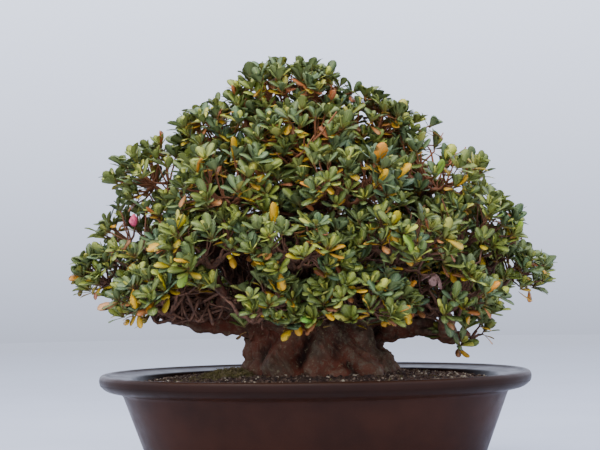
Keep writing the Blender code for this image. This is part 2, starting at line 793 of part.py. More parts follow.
def grow_rosettes(firm_tests):
    """Sets the rosettes evenly over the crown, each clear of everything but its own core."""
    draw = random.Random(SEED)
    core_tests = {}
    for name in SPRAYS_MM:
        shape = core_shape(name)
        core_tests[name] = BVHTree.FromBMesh(shape)
        shape.free()
    fixed = [*firm_tests, *core_tests.values()]
    grown = {name: [] for name in SPRAYS_MM}
    shoots = {}
    placed = []
    for shoot, name, outward in FIRST_SHOOTS:
        site = make_site(name, Vector(outward).normalized(), core_tests[name])
        site.update(spin=0.4, leaves=5, scale=FIRST_SCALE, seed=SEED)
        test = swollen_test(site)
        while not is_clear(test, site["place"], fixed, placed) and site["scale"] > 0.4:
            site.update(spin=draw.uniform(0, math.tau), scale=site["scale"] * 0.96)
            test = swollen_test(site)
        shoots[shoot] = site
        grown[name].append(site)
        placed.append((site["place"], test))
    sites = shoot_sites(core_tests)
    distance = [
        min((site["place"] - centre).length for centre, _ in placed) for site in sites
    ]
    spare = set(range(len(sites)))
    while spare and len(placed) < ROSETTES:
        pick = max(spare, key=lambda k: (distance[k] * sites[k]["facing"], -k))
        spare.remove(pick)
        site = sites[pick]
        for attempt in range(TRIES):
            lean = Vector((draw.uniform(-1, 1), draw.uniform(-1, 1), draw.uniform(-0.3, 0.8)))
            trial = dict(
                site,
                axis=(site["axis"] + 0.22 * (1 + attempt / 5) * lean).normalized(),
                spin=draw.uniform(0, math.tau),
                leaves=draw.choice(LEAF_COUNTS),
                scale=draw.uniform(0.94, 1.06) * (1 - 0.022 * attempt),
                seed=draw.randrange(10**6),
            )
            test = swollen_test(trial)
            if not is_clear(test, trial["place"], fixed, placed):
                continue
            grown[site["spray"]].append(trial)
            placed.append((trial["place"], test))
            for k in spare:
                distance[k] = min(distance[k], (sites[k]["place"] - trial["place"]).length)
            break
    return grown, shoots


def build_spray(name, rosettes, collection, materials, clearance):
    """One leafy spray: its core and rosettes fused, with a plain hole where its bough stands."""
    spray = object_from(core_shape(name), f"spray_{name}", collection, materials)
    tools = new_collection("spray_tools")
    for number, site in enumerate(rosettes):
        object_from(rosette_shape(site), f"rosette_{number}", tools, materials)
    if rosettes:
        apply_boolean(spray, "UNION", tools)
    discard(tools)
    apply_boolean(spray, "DIFFERENCE", clearance)
    keep_largest_body(spray)
    return spray


def main():
    clear_scene()
    materials = {name: make_material(name) for name in COLOURS}
    bonsai = new_collection("satsuki_azalea_bonsai")
    pot = build_pot(bonsai, materials["clay"])
    build_screens(bonsai, materials["screen"])
    soil = build_soil(bonsai, materials["soil"])
    wood = build_wood("trunk_and_limbs", bonsai, materials["bark"])
    guides = new_collection("guides")
    clearance = build_wood("clearance", guides, materials["bark"], CLEARANCE)
    clearance.hide_render = True
    clearance.display_type = "WIRE"
    build_moss(bonsai, materials["moss"], soil, clearance)
    firm_tests = [test_shape(thing) for thing in (clearance, pot, soil)]
    leaf_materials = [materials["leaf"], materials["leaf_yellow"]]
    grown, shoots = grow_rosettes(firm_tests)

    for name in SPRAYS_MM:
        build_spray(name, grown[name], bonsai, leaf_materials, clearance)
    build_bud(shoots["flower_bud"], bonsai, materials["bloom_pink"])
    build_bloom(shoots["withered_bloom"], bonsai, materials["bloom_faded"])
    shade_smooth(wood, 50)


main()
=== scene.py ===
"""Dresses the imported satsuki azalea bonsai: its leaves, twigs, bark, moss, soil and pot.

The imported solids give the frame. Every piece here is made in metres in the same frame,
and stands for the solids that it replaces.
"""

import json
import logging
import math
import random
from contextlib import contextmanager
from dataclasses import dataclass, field, replace
from enum import Enum
from typing import Callable, Iterator, Optional, Sequence, Union

import bmesh
import bpy
import numpy as np
from mathutils import Matrix, Vector, noise

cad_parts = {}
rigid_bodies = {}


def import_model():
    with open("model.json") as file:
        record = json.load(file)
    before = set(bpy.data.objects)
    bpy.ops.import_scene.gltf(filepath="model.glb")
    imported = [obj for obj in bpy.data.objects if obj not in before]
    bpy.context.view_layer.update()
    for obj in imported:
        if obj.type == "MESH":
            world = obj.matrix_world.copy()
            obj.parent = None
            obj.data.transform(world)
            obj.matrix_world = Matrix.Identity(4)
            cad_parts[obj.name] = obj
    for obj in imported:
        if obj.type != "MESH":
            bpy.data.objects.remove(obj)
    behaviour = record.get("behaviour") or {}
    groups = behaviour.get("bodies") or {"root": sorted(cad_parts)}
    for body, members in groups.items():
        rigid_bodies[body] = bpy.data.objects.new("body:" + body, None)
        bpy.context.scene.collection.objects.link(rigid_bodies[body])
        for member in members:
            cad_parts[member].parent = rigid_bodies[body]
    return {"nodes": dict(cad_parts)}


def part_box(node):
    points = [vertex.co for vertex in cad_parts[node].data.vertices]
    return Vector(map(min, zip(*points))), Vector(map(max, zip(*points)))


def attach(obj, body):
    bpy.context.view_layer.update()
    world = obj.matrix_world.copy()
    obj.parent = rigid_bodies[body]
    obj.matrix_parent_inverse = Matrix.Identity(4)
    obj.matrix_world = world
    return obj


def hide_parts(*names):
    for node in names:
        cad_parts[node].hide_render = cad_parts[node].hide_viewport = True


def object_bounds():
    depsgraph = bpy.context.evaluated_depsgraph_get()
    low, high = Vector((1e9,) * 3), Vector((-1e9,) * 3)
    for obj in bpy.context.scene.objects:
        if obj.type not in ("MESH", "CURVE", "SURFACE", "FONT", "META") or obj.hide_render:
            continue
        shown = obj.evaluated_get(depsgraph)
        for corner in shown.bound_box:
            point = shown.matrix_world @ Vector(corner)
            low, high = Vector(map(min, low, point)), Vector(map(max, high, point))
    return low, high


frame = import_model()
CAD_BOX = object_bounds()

LOG = logging.getLogger("bonsai")
MM = 0.001
SAME_PLACE = 0.002 * MM
GOLDEN_TURN = math.pi * (3 - math.sqrt(5))
NOISE_LOW, NOISE_HIGH = 0.3, 0.7
UP = Vector((0, 0, 1)).freeze()
SEED = 23

Library = bpy.types.Collection
Material = bpy.types.Material
Mesh = bpy.types.Mesh
Node = bpy.types.Node
Shape = bmesh.types.BMesh
Socket = bpy.types.NodeSocket
Thing = bpy.types.Object
Tree = bpy.types.NodeTree
Value = Union[Socket, float, int, tuple, str, bpy.types.ID]


class Species(Enum):
    """The kinds of blade that a shoot carries."""

    MATURE = "mature"
    YOUNG = "young"
    OLD = "old"
    SPENT = "spent"


class Join(Enum):
    """What a tool does to the solid that it meets."""

    ADD = "UNION"
    CUT = "DIFFERENCE"


# Colour and node helpers


def linear(hex_code: str) -> tuple:
    """Turns an sRGB hex colour into linear RGBA.

    Args:
        hex_code: a hash and six hex digits.

    Returns:
        Four floats.
    """
    values = [int(hex_code[i : i + 2], 16) / 255 for i in (1, 3, 5)]
    return (*(v / 12.92 if v <= 0.04045 else ((v + 0.055) / 1.055) ** 2.4 for v in values), 1.0)


def configure(target: object, settings: dict) -> None:
    """Sets an object's properties by name."""
    for name, value in settings.items():
        setattr(target, name, value)


def fill(tree: Tree, node: Node, inputs: dict) -> None:
    """Fills or links a node's inputs.

    Args:
        tree: the node tree.
        node: the node.
        inputs: socket name or number to an output socket, a hex colour or another value.
    """
    for key, value in inputs.items():
        if isinstance(value, Socket):
            tree.links.new(value, node.inputs[key])
        else:
            is_colour = isinstance(value, str) and value.startswith("#")
            node.inputs[key].default_value = linear(value) if is_colour else value


def add_node(tree: Tree, kind: str, inputs: Optional[dict] = None, **settings) -> Node:
    """Adds a node, sets its properties, and fills or links its inputs.

    Args:
        tree: the node tree that gets the node.
        kind: the node's type name.
        inputs: what fill takes.
        **settings: properties of the node.

    Returns:
        The new node.
    """
    node = tree.nodes.new(kind)
    configure(node, settings)
    fill(tree, node, inputs or {})
    return node


class Surface:
    """A Principled material under construction, with short ways to build its patterns."""

    def __init__(self, name: str) -> None:
        """Starts the material.

        Args:
            name: what the real material is.
        """
        self.material = bpy.data.materials.new(name)
        self.material.use_nodes = True
        self.tree = self.material.node_tree
        self.shader = self.tree.nodes["Principled BSDF"]
        self.place = self.node("TexCoord").outputs["Object"]

    def node(self, kind: str, inputs: Optional[dict] = None, **settings) -> Node:
        """Adds a node, whose kind leaves out the leading ShaderNode. See add_node."""
        return add_node(self.tree, f"ShaderNode{kind}", inputs, **settings)

    def grain(self, size_mm: float, detail: float = 3, rough: float = 0.55, upright: float = 1) -> Socket:
        """A noise pattern whose blotches have a real size.

        Args:
            size_mm: the size of one blotch.
            detail: the number of finer layers.
            rough: how strong the finer layers are.
            upright: how many times closer the blotches are along Z.

        Returns:
            The factor socket, 0 to 1.
        """
        scale = 1 / (size_mm * MM)
        place = self.node("Mapping", {"Vector": self.place, "Scale": (scale, scale, scale * upright)})
        inputs = {"Vector": place.outputs[0], "Scale": 1.0, "Detail": detail, "Roughness": rough}
        return self.node("TexNoise", inputs).outputs[0]

    def cover(
        self, under: Value, over: Value, mask: Socket, low: float = 0, high: float = 1, share: Value = 1.0
    ) -> Socket:
        """Lays one colour over another where a mask rises.

        Args:
            under: the colour beneath.
            over: the colour laid over it.
            mask: the value that says where.
            low: the mask's value where nothing is covered.
            high: the mask's value where the cover is full.
            share: the cover's share where it is full.

        Returns:
            The colour's socket.
        """
        part = self.node("MapRange", {0: mask, 1: low, 2: high, 4: share}).outputs[0]
        return self.node("Mix", {0: part, 6: under, 7: over}, data_type="RGBA").outputs[2]

    def mottle(self, colour: Socket, grain: Socket, dark: float, light: float) -> Socket:
        """Darkens and lightens a colour by a noise pattern.

        Args:
            colour: the colour.
            grain: the pattern.
            dark: the least gain.
            light: the greatest gain.

        Returns:
            The colour's socket.
        """
        inputs = {0: grain, 1: NOISE_LOW, 2: NOISE_HIGH, 3: dark, 4: light}
        gain = self.node("MapRange", inputs).outputs[0]
        return self.node("VectorMath", {0: colour, "Scale": gain}, operation="SCALE").outputs[0]

    def finish(
        self, colour: Value, roughness: Value, relief: Socket, relief_mm: float, specular: float = 0.5
    ) -> Material:
        """Connects the results to the shader.

        Args:
            colour: base colour.
            roughness: roughness value.
            relief: a 0 to 1 height pattern.
            relief_mm: the real height of that pattern.
            specular: the specular level.

        Returns:
            The finished material.
        """
        bump = self.node("Bump", {"Strength": 1.0, "Distance": relief_mm * MM, "Height": relief})
        inputs = {"Base Color": colour, "Roughness": roughness, "Normal": bump.outputs[0]}
        fill(self.tree, self.shader, {**inputs, "Specular IOR Level": specular})
        return self.material


# Finishes. Each pattern's first number is its real size in millimetres.


# Smoothed with a rib before firing: a soft gloss over faint, cloudy mottling and fine turning lines.
# Painted shade darkens the lip, and a painted highlight lightens the top edge of its rim.
@dataclass(frozen=True)
class StonewareFinish:
    """Unglazed brown stoneware."""

    body: str = "#3d2116"
    dark: str = "#2e1911"
    ash: str = "#4a3020"
    lip: str = "#1e0d05"
    lip_rise: tuple = (96 * MM, 104 * MM)
    edge_rise: tuple = (113.5 * MM, 116.5 * MM)

    def build(self) -> Material:
        """Returns the material."""
        s = Surface("unglazed_stoneware")
        colour = s.cover(self.body, self.dark, s.grain(60), 0.35, 0.7)
        colour = s.cover(colour, self.ash, s.grain(1.1, 2), 0.60, 0.72, 0.35)
        height = s.node("SeparateXYZ", {0: s.place}).outputs["Z"]
        # Painted shade: the lip darkens towards near black from 96 mm up.
        colour = s.cover(colour, self.lip, height, *self.lip_rise, 0.72)
        # Painted highlight: the top edge of the rim lightens towards the ash colour.
        colour = s.cover(colour, self.ash, height, *self.edge_rise, 0.2)
        gloss = {0: s.grain(18, 4), 1: NOISE_LOW, 2: NOISE_HIGH, 3: 0.30, 4: 0.44}
        rough = s.node("MapRange", gloss).outputs[0]
        return s.finish(colour, rough, s.grain(7, upright=6), 0.10, 0.12)


# Thin upright plates that flake, so red-brown shows between grey-olive weathering and hollows darkened near
# black with painted shade. Painted shade also darkens the limbs, and a painted highlight lightens the ridge
# crests.
@dataclass(frozen=True)
class BarkFinish:
    """Old azalea bark, dry and without gloss."""

    red: str = "#783e2a"
    brown: str = "#553c2c"
    grey: str = "#7f725a"
    fleck: str = "#a0926c"
    hollow: str = "#1b110c"
    limb_rise: tuple = (165 * MM, 200 * MM)
    weather_side: tuple = (-50 * MM, 50 * MM)

    def build(self) -> Material:
        """Returns the material."""
        s = Surface("azalea_bark")
        plates = s.grain(9, 5, 0.62, 0.45)
        depth = s.node("Attribute", attribute_name="bark_depth").outputs["Fac"]
        across, _, height = s.node("SeparateXYZ", {0: s.place}).outputs
        low, high = self.weather_side
        weathered = s.node("MapRange", {0: across, 1: low, 2: high, 3: 0.4, 4: 0.85}).outputs[0]
        colour = s.cover(self.red, self.brown, s.grain(34), 0.38, 0.62)
        colour = s.cover(colour, self.grey, s.grain(8, 6, 0.75), 0.50, 0.64, weathered)
        # Painted shade: the low parts of the plate pattern and the carved hollows darken towards near black.
        colour = s.cover(colour, self.hollow, plates, 0.42, 0.30, 0.7)
        colour = s.cover(colour, self.hollow, depth, 0.70, 0.12, 0.88)
        # Painted highlight: the ridge crests lighten towards grey.
        colour = s.cover(colour, self.grey, depth, 0.75, 1.0, 0.2)
        colour = s.cover(colour, self.fleck, s.grain(4.5, 6, 0.7), 0.57, 0.67, 0.6)
        # Painted shade: the limbs under the crown darken from 165 to 200 mm up.
        colour = s.cover(colour, self.hollow, height, *self.limb_rise, 0.5)
        relief = s.node("Mix", {0: 0.55, 2: s.grain(2.4, 5, 0.6, 0.4), 3: plates}).outputs[0]
        return s.finish(colour, 0.8, relief, 2.2, 0.25)


# Young bark is thin and unbroken: smooth red-brown below, brighter where this year's shoots reach the light.
@dataclass(frozen=True)
class TwigFinish:
    """Young azalea shoots."""

    light: str = "#7c553f"
    dark: str = "#422c22"
    fresh: str = "#ab6c42"
    fresh_rise: tuple = (250 * MM, 380 * MM)

    def build(self) -> Material:
        """Returns the material."""
        s = Surface("azalea_twig")
        height = s.node("SeparateXYZ", {0: s.place}).outputs["Z"]
        colour = s.cover(self.light, self.dark, s.grain(7, 4), 0.35, 0.65)
        colour = s.cover(colour, self.fresh, height, *self.fresh_rise, 0.75)
        return s.finish(colour, 0.75, s.grain(1.5), 0.25, 0.3)


# Waxy above, with a soft highlight, a lighter midrib and fine side veins. Paler and duller beneath.
@dataclass(frozen=True)
class LeafFinish:
    """An azalea leaf, whose own colour and blade coordinates are kept on its points."""

    rib: str = "#a2aa60"
    under: str = "#8f9862"
    base: str = "#b07a34"
    vein_count: float = 44
    vein_slant: float = 15
    vein_sharpness: float = 5

    def veins(self, s: Surface, along: Socket, side: Socket) -> Socket:
        """The side veins, which slant forward from the midrib.

        Args:
            s: the surface.
            along: 0 at the stalk to 1 at the tip.
            side: 0 at the midrib to 1 at the edge.

        Returns:
            The socket of a value that is 1 on a vein.
        """
        run = s.node("Math", {0: along, 1: self.vein_count}, operation="MULTIPLY").outputs[0]
        aside = s.node("Math", {0: side, 1: self.vein_slant}, operation="MULTIPLY").outputs[0]
        phase = s.node("Math", {0: run, 1: aside}, operation="SUBTRACT").outputs[0]
        wave = s.node("Math", {0: phase}, operation="SINE").outputs[0]
        lifted = s.node("MapRange", {0: wave, 1: -1.0}).outputs[0]
        return s.node("Math", {0: lifted, 1: self.vein_sharpness}, operation="POWER").outputs[0]

    def build(self) -> Material:
        """Returns the material."""
        s = Surface("azalea_leaf")
        kept = s.node("Attribute", attribute_name="blade_uv").outputs["Vector"]
        across, along, _ = s.node("SeparateXYZ", {0: kept}).outputs
        under = s.node("Attribute", attribute_name="underside").outputs["Fac"]
        leaf = s.node("Attribute", attribute_name="leaf_colour").outputs["Color"]
        side = s.node("Math", {0: across}, operation="ABSOLUTE").outputs[0]
        veins = self.veins(s, along, side)
        colour = s.mottle(leaf, s.grain(6), 0.80, 1.16)
        colour = s.cover(colour, self.base, along, 0.34, 0.04, 0.62)
        colour = s.cover(colour, self.rib, veins, share=0.13)
        colour = s.cover(colour, self.rib, side, 0.10, 0.02, 0.3)
        colour = s.cover(colour, self.under, under, share=0.35)
        wax = {0: s.grain(3, 2), 1: NOISE_LOW, 2: NOISE_HIGH, 3: 0.36, 4: 0.48}
        sheen = s.node("MapRange", wax).outputs[0]
        dull = {0: under, 1: 0.3, 2: sheen}
        rough = s.node("Math", dull, operation="MULTIPLY_ADD").outputs[0]
        between = s.node("Math", {0: 1.0, 1: veins}, operation="SUBTRACT").outputs[0]
        return s.finish(colour, rough, between, 0.10, 0.38)


# Dry and rough, so each grain is matt and a little lighter or darker than its neighbours.
@dataclass(frozen=True)
class GrainFinish:
    """Loose grains of soil, or tufts of moss, whose colour is kept on each."""

    name: str

    def build(self) -> Material:
        """Returns the material."""
        s = Surface(self.name)
        colour = s.node("Attribute", attribute_name="grain_colour").outputs["Color"]
        return s.finish(s.mottle(colour, s.grain(1.2), 0.7, 1.25), 0.95, s.grain(0.8), 0.3, 0.25)


# Moist and crumbly, so it is dark and matt between the lighter grains.
@dataclass(frozen=True)
class EarthFinish:
    """Potting soil under its loose grains."""

    dark: str = "#40302a"
    light: str = "#6d5646"

    def build(self) -> Material:
        """Returns the material."""
        s = Surface("potting_soil")
        colour = s.cover(self.dark, self.light, s.grain(4, 5, 0.65), 0.4, 0.65)
        return s.finish(colour, 0.95, s.grain(2.5, 5, 0.65), 1.2, 0.2)


# Thin and soft, so it is matt and blotched, with darker cloudy patches where it creases.
@dataclass(frozen=True)
class PetalFinish:
    """An azalea petal, fresh or withered."""

    name: str
    face: str
    vein: str

    def build(self) -> Material:
        """Returns the material."""
        s = Surface(self.name)
        colour = s.cover(self.face, self.vein, s.grain(3), 0.35, 0.65)
        return s.finish(colour, 0.6, s.grain(1.2), 0.3, 0.3)


# Moulded polypropylene mesh: near black with a dull gloss.
@dataclass(frozen=True)
class PlasticFinish:
    """The plastic of the drain screens."""

    dark: str = "#1b1d1c"
    light: str = "#2a2c2b"

    def build(self) -> Material:
        """Returns the material."""
        s = Surface("mesh_plastic")
        return s.finish(s.cover(self.dark, self.light, s.grain(5)), 0.5, s.grain(1.0, 2), 0.05)


# Mesh helpers


def clamp(value: float, low: float = 0.0, high: float = 1.0) -> float:
    """A value, held between two bounds."""
    return max(low, min(high, value))


def turns(count: int) -> list:
    """The angles of places set evenly round a circle, in radians."""
    return [math.tau * i / count for i in range(count)]


def signed_power(value: float, power: float) -> float:
    """A value raised to a power, with its sign kept."""
    return math.copysign(abs(value) ** power, value)


def bend(start: Vector, knee: Vector, end: Vector, t: float) -> Vector:
    """The place at share t of a curve that leaves its start towards a knee and comes from it to its end."""
    return start * (1 - t) ** 2 + knee * 2 * t * (1 - t) + end * t * t


def share_out(off: Sequence, half: Sequence) -> float:
    """How far out an offset lies: 0 in the middle, 1 on the ellipsoid with these half sizes."""
    return math.sqrt(sum((o / h) ** 2 for o, h in zip(off, half)))


def drawn(draw: random.Random, *ranges: tuple) -> Vector:
    """A vector whose parts are drawn in turn from ranges, or three from -1 to 1."""
    return Vector([draw.uniform(*r) for r in ranges or ((-1, 1),) * 3])


def node_box(node: str) -> tuple:
    """The low corner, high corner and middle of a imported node's box."""
    low, high = (Vector(corner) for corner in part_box(node))
    return low, high, (low + high) / 2


def linked(name: str, data: bpy.types.ID) -> Thing:
    """Makes an object that carries a mesh, a curve, a light or a camera.

    Args:
        name: the object's name.
        data: what it carries.

    Returns:
        The object, linked to the scene.
    """
    made = bpy.data.objects.new(name, data)
    bpy.context.scene.collection.objects.link(made)
    return made


def mesh_from(name: str, points: Sequence, faces: Sequence) -> Mesh:
    """Makes a smooth-shaded mesh.

    Args:
        name: its name.
        points: its points.
        faces: each face's point numbers.

    Returns:
        The mesh.
    """
    mesh = bpy.data.meshes.new(name)
    mesh.from_pydata([tuple(p) for p in points], [], faces)
    mesh.validate()
    mesh.shade_smooth()
    return mesh


def from_bmesh(name: str, shape: Shape) -> Mesh:
    """Writes a bmesh to a new mesh, and frees it.

    Args:
        name: the mesh's name.
        shape: the bmesh.

    Returns:
        The mesh.
    """
    mesh = bpy.data.meshes.new(name)
    shape.to_mesh(mesh)
    shape.free()
    return mesh


@contextmanager
def editing(mesh: Mesh) -> Iterator[Shape]:
    """Opens a mesh for the length of a with block, and writes it back at the end.

    Args:
        mesh: the mesh.

    Yields:
        Its bmesh.
    """
    shape = bmesh.new()
    shape.from_mesh(mesh)
    yield shape
    shape.to_mesh(mesh)
    shape.free()


def keep(mesh: Mesh, name: str, kind: str, values: Sequence, domain: str = "POINT") -> None:
    """Keeps values on a mesh as an attribute.

    Args:
        mesh: the mesh.
        name: the attribute's name.
        kind: its data type.
        values: a value, vector or colour for each point or face, in order.
        domain: POINT or FACE.
    """
    fields = {"FLOAT_VECTOR": "vector", "FLOAT_COLOR": "color"}
    mesh.attributes.new(name, kind, domain).data.foreach_set(fields.get(kind, "value"), np.ravel(values))


def ring_faces(rings: int, around: int, start: int = 0) -> list:
    """The quads between rings of points, each ring closed on itself.

    Args:
        rings: the number of rings.
        around: the number of points in a ring.
        start: the number of the first point.

    Returns:
        The faces.
    """
    faces = []
    for low in range(start, start + (rings - 1) * around, around):
        for i in range(around):
            j = (i + 1) % around
            faces.append((low + i, low + j, low + around + j, low + around + i))
    return faces


def cad_copy(node: str, name: str) -> Thing:
    """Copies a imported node's mesh, with its doubled points merged, as a new object.

    Args:
        node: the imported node.
        name: the copy's name.

    Returns:
        The copy, at the origin.
    """
    source = frame["nodes"][node]
    mesh = source.data.copy()
    mesh.transform(source.matrix_world)
    mesh.materials.clear()
    with editing(mesh) as shape:
        bmesh.ops.remove_doubles(shape, verts=shape.verts, dist=SAME_PLACE)
    return linked(name, mesh)


def evaluated(thing: Thing) -> Mesh:
    """A new plain mesh of an object as its modifiers leave it."""
    graph = bpy.context.evaluated_depsgraph_get()
    return bpy.data.meshes.new_from_object(thing.evaluated_get(graph))


def modify(thing: Thing, **modifiers: dict) -> None:
    """Applies modifiers to an object's mesh, in order.

    Args:
        thing: the object.
        **modifiers: each modifier's type in small letters, with its settings.
    """
    for kind, settings in modifiers.items():
        configure(thing.modifiers.new(kind, kind.upper()), settings)
    mesh = evaluated(thing)
    thing.modifiers.clear()
    thing.data = mesh


def dress(thing: Thing, material: Material, sharp_deg: Optional[float] = None) -> None:
    """Gives an object its only material and smooth shading.

    Args:
        thing: the object.
        material: its material.
        sharp_deg: edges that turn by more than this stay sharp. None keeps them all smooth.
    """
    thing.data.materials.clear()
    thing.data.materials.append(material)
    thing.data.shade_smooth()
    if sharp_deg:
        thing.data.set_sharp_from_angle(angle=math.radians(sharp_deg))


# Geometry Nodes trees


def new_tree(name: str, **sockets: str) -> Tree:
    """Starts a Geometry Nodes tree with named inputs and a geometry output.

    Args:
        name: the tree's name.
        **sockets: each input after the geometry, with what follows NodeSocket in its type.

    Returns:
        The tree, which holds its group input and output nodes.
    """
    tree = bpy.data.node_groups.new(name, "GeometryNodeTree")
    for label, kind in {"Geometry": "Geometry", **sockets}.items():
        tree.interface.new_socket(label, in_out="INPUT", socket_type=f"NodeSocket{kind}")
    tree.interface.new_socket("Geometry", in_out="OUTPUT", socket_type="NodeSocketGeometry")
    tree.nodes.new("NodeGroupInput")
    tree.nodes.new("NodeGroupOutput")
    return tree


def close_tree(tree: Tree, geometry: Socket) -> None:
    """Ends a tree in Realize Instances and Set Material, with its Material input.

    Args:
        tree: the tree.
        geometry: the socket to finish.
    """
    real = add_node(tree, "GeometryNodeRealizeInstances", {0: geometry}).outputs[0]
    inputs = {"Geometry": real, "Material": tree.nodes["Group Input"].outputs["Material"]}
    dressed = add_node(tree, "GeometryNodeSetMaterial", inputs)
    fill(tree, tree.nodes["Group Output"], {0: dressed.outputs[0]})


def set_shapes(tree: Tree, points: Socket, inputs: dict) -> None:
    """Ends a tree that sets the shapes of its Shapes input on points.

    Args:
        tree: the tree, with inputs Shapes and Material.
        points: the points.
        inputs: further inputs of the instancing node.
    """
    shapes = tree.nodes["Group Input"].outputs["Shapes"]
    parts = {"Collection": shapes, "Separate Children": True, "Reset Children": True}
    library = add_node(tree, "GeometryNodeCollectionInfo", parts).outputs[0]
    inputs = {"Points": points, "Instance": library, "Pick Instance": True, **inputs}
    close_tree(tree, add_node(tree, "GeometryNodeInstanceOnPoints", inputs).outputs[0])


def blade_tree() -> Tree:
    """The tree that sets a blade on every point: its kind, turn and size come from the point.

    Returns:
        The tree, with inputs Shapes and Material.
    """
    tree = new_tree("blades_on_points", Shapes="Collection", Material="Material")
    cloud = tree.nodes["Group Input"].outputs["Geometry"]
    inputs = {}
    for socket, name, kind in (
        ("Instance Index", "blade_kind", "INT"),
        ("Rotation", "blade_turn", "QUATERNION"),
        ("Scale", "blade_size", "FLOAT_VECTOR"),
    ):
        kept = add_node(tree, "GeometryNodeInputNamedAttribute", {"Name": name}, data_type=kind)
        inputs[socket] = kept.outputs["Attribute"]
    set_shapes(tree, add_node(tree, "GeometryNodeMeshToPoints", {"Mesh": cloud}).outputs[0], inputs)
    return tree


def tube_tree() -> Tree:
    """The tree that runs a round, tapering tube along every spline.

    Returns:
        The tree, with inputs Sides and Material.
    """
    tree = new_tree("tubes_on_curves", Sides="Int", Material="Material")
    given = tree.nodes["Group Input"].outputs
    round_of = {"Resolution": given["Sides"], "Radius": 1.0}
    circle = add_node(tree, "GeometryNodeCurvePrimitiveCircle", round_of).outputs[0]
    inputs = {"Curve": given["Geometry"], "Profile Curve": circle, "Fill Caps": True}
    tube = add_node(tree, "GeometryNodeCurveToMesh", inputs)
    if "Scale" in tube.inputs:
        fill(tree, tube, {"Scale": add_node(tree, "GeometryNodeInputRadius").outputs[0]})
    close_tree(tree, add_node(tree, "GeometryNodeSetShadeSmooth", {0: tube.outputs[0]}).outputs[0])
    return tree


def grain_tree() -> Tree:
    """The tree that strews turned, sized instances over a surface.

    Returns:
        The tree, with inputs Shapes, Density, Smallest, Largest, Lean, Seed and Material.
    """
    numbers = {"Density": "Float", "Smallest": "Float", "Largest": "Float", "Lean": "Float", "Seed": "Int"}
    tree = new_tree("grains_on_surface", Shapes="Collection", **numbers, Material="Material")
    given = tree.nodes["Group Input"].outputs
    strew = add_node(tree, "GeometryNodeInputNamedAttribute", {"Name": "strew"}, data_type="FLOAT")
    share = {0: given["Density"], 1: strew.outputs["Attribute"]}
    density = add_node(tree, "ShaderNodeMath", share, operation="MULTIPLY").outputs[0]
    where = {"Mesh": given["Geometry"], "Density": density, "Seed": given["Seed"]}
    points = add_node(tree, "GeometryNodeDistributePointsOnFaces", where, distribute_method="RANDOM")
    all_round = {"Max": (6.28,) * 3, "Seed": given["Seed"]}
    spin = add_node(tree, "FunctionNodeRandomValue", all_round, data_type="FLOAT_VECTOR").outputs[0]
    lean = {0: spin, "Scale": given["Lean"]}
    turned = add_node(tree, "ShaderNodeVectorMath", lean, operation="SCALE").outputs[0]
    both = {0: points.outputs["Rotation"], 1: turned}
    rotation = add_node(tree, "FunctionNodeRotateRotation", both, rotation_space="LOCAL").outputs[0]
    sizes = {2: given["Smallest"], 3: given["Largest"], "Seed": given["Seed"]}
    size = add_node(tree, "FunctionNodeRandomValue", sizes, data_type="FLOAT").outputs[1]
    set_shapes(tree, points.outputs[0], {"Rotation": rotation, "Scale": size})
    return tree


def grow_with(source: Thing, tree: Tree, inputs: dict, name: str) -> Thing:
    """Runs a Geometry Nodes tree on an object and keeps the result as a plain mesh.

    Args:
        source: the object that carries points, curves or a surface. It is removed.
        tree: the tree.
        inputs: input name to value.
        name: the result's name.

    Returns:
        The plain object.
    """
    modifier = source.modifiers.new("grow", "NODES")
    modifier.node_group = tree
    for item in tree.interface.items_tree:
        if item.item_type == "SOCKET" and item.in_out == "INPUT" and item.name in inputs:
            modifier[item.identifier] = inputs[item.name]
    source.update_tag()
    bpy.context.view_layer.update()
    mesh = evaluated(source)
    bpy.data.objects.remove(source, do_unlink=True)
    mesh.name = name
    return linked(name, mesh)


@contextmanager
def shape_library(name: str, shapes: Sequence[Mesh]) -> Iterator[Library]:
    """Keeps meshes as the children of an unlinked collection, for the length of a with block.

    Args:
        name: the collection's name.
        shapes: the meshes, in the order of their numbers.

    Yields:
        The collection.
    """
    library = bpy.data.collections.new(name)
    for number, mesh in enumerate(shapes):
        library.objects.link(bpy.data.objects.new(f"{name}_{number:02d}", mesh))
    yield library
    for thing in list(library.objects):
        bpy.data.objects.remove(thing, do_unlink=True)
    bpy.data.collections.remove(library)


def place_piece(piece: Thing, slot: str, *nodes: str) -> None:
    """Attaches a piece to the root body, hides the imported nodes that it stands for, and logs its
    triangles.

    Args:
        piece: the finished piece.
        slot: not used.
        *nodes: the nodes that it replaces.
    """
    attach(piece, "root")
    if nodes:
        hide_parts(*nodes)
    piece.data.calc_loop_triangles()
    LOG.info("%s: %d triangles", piece.name, len(piece.data.loop_triangles))


# The studio


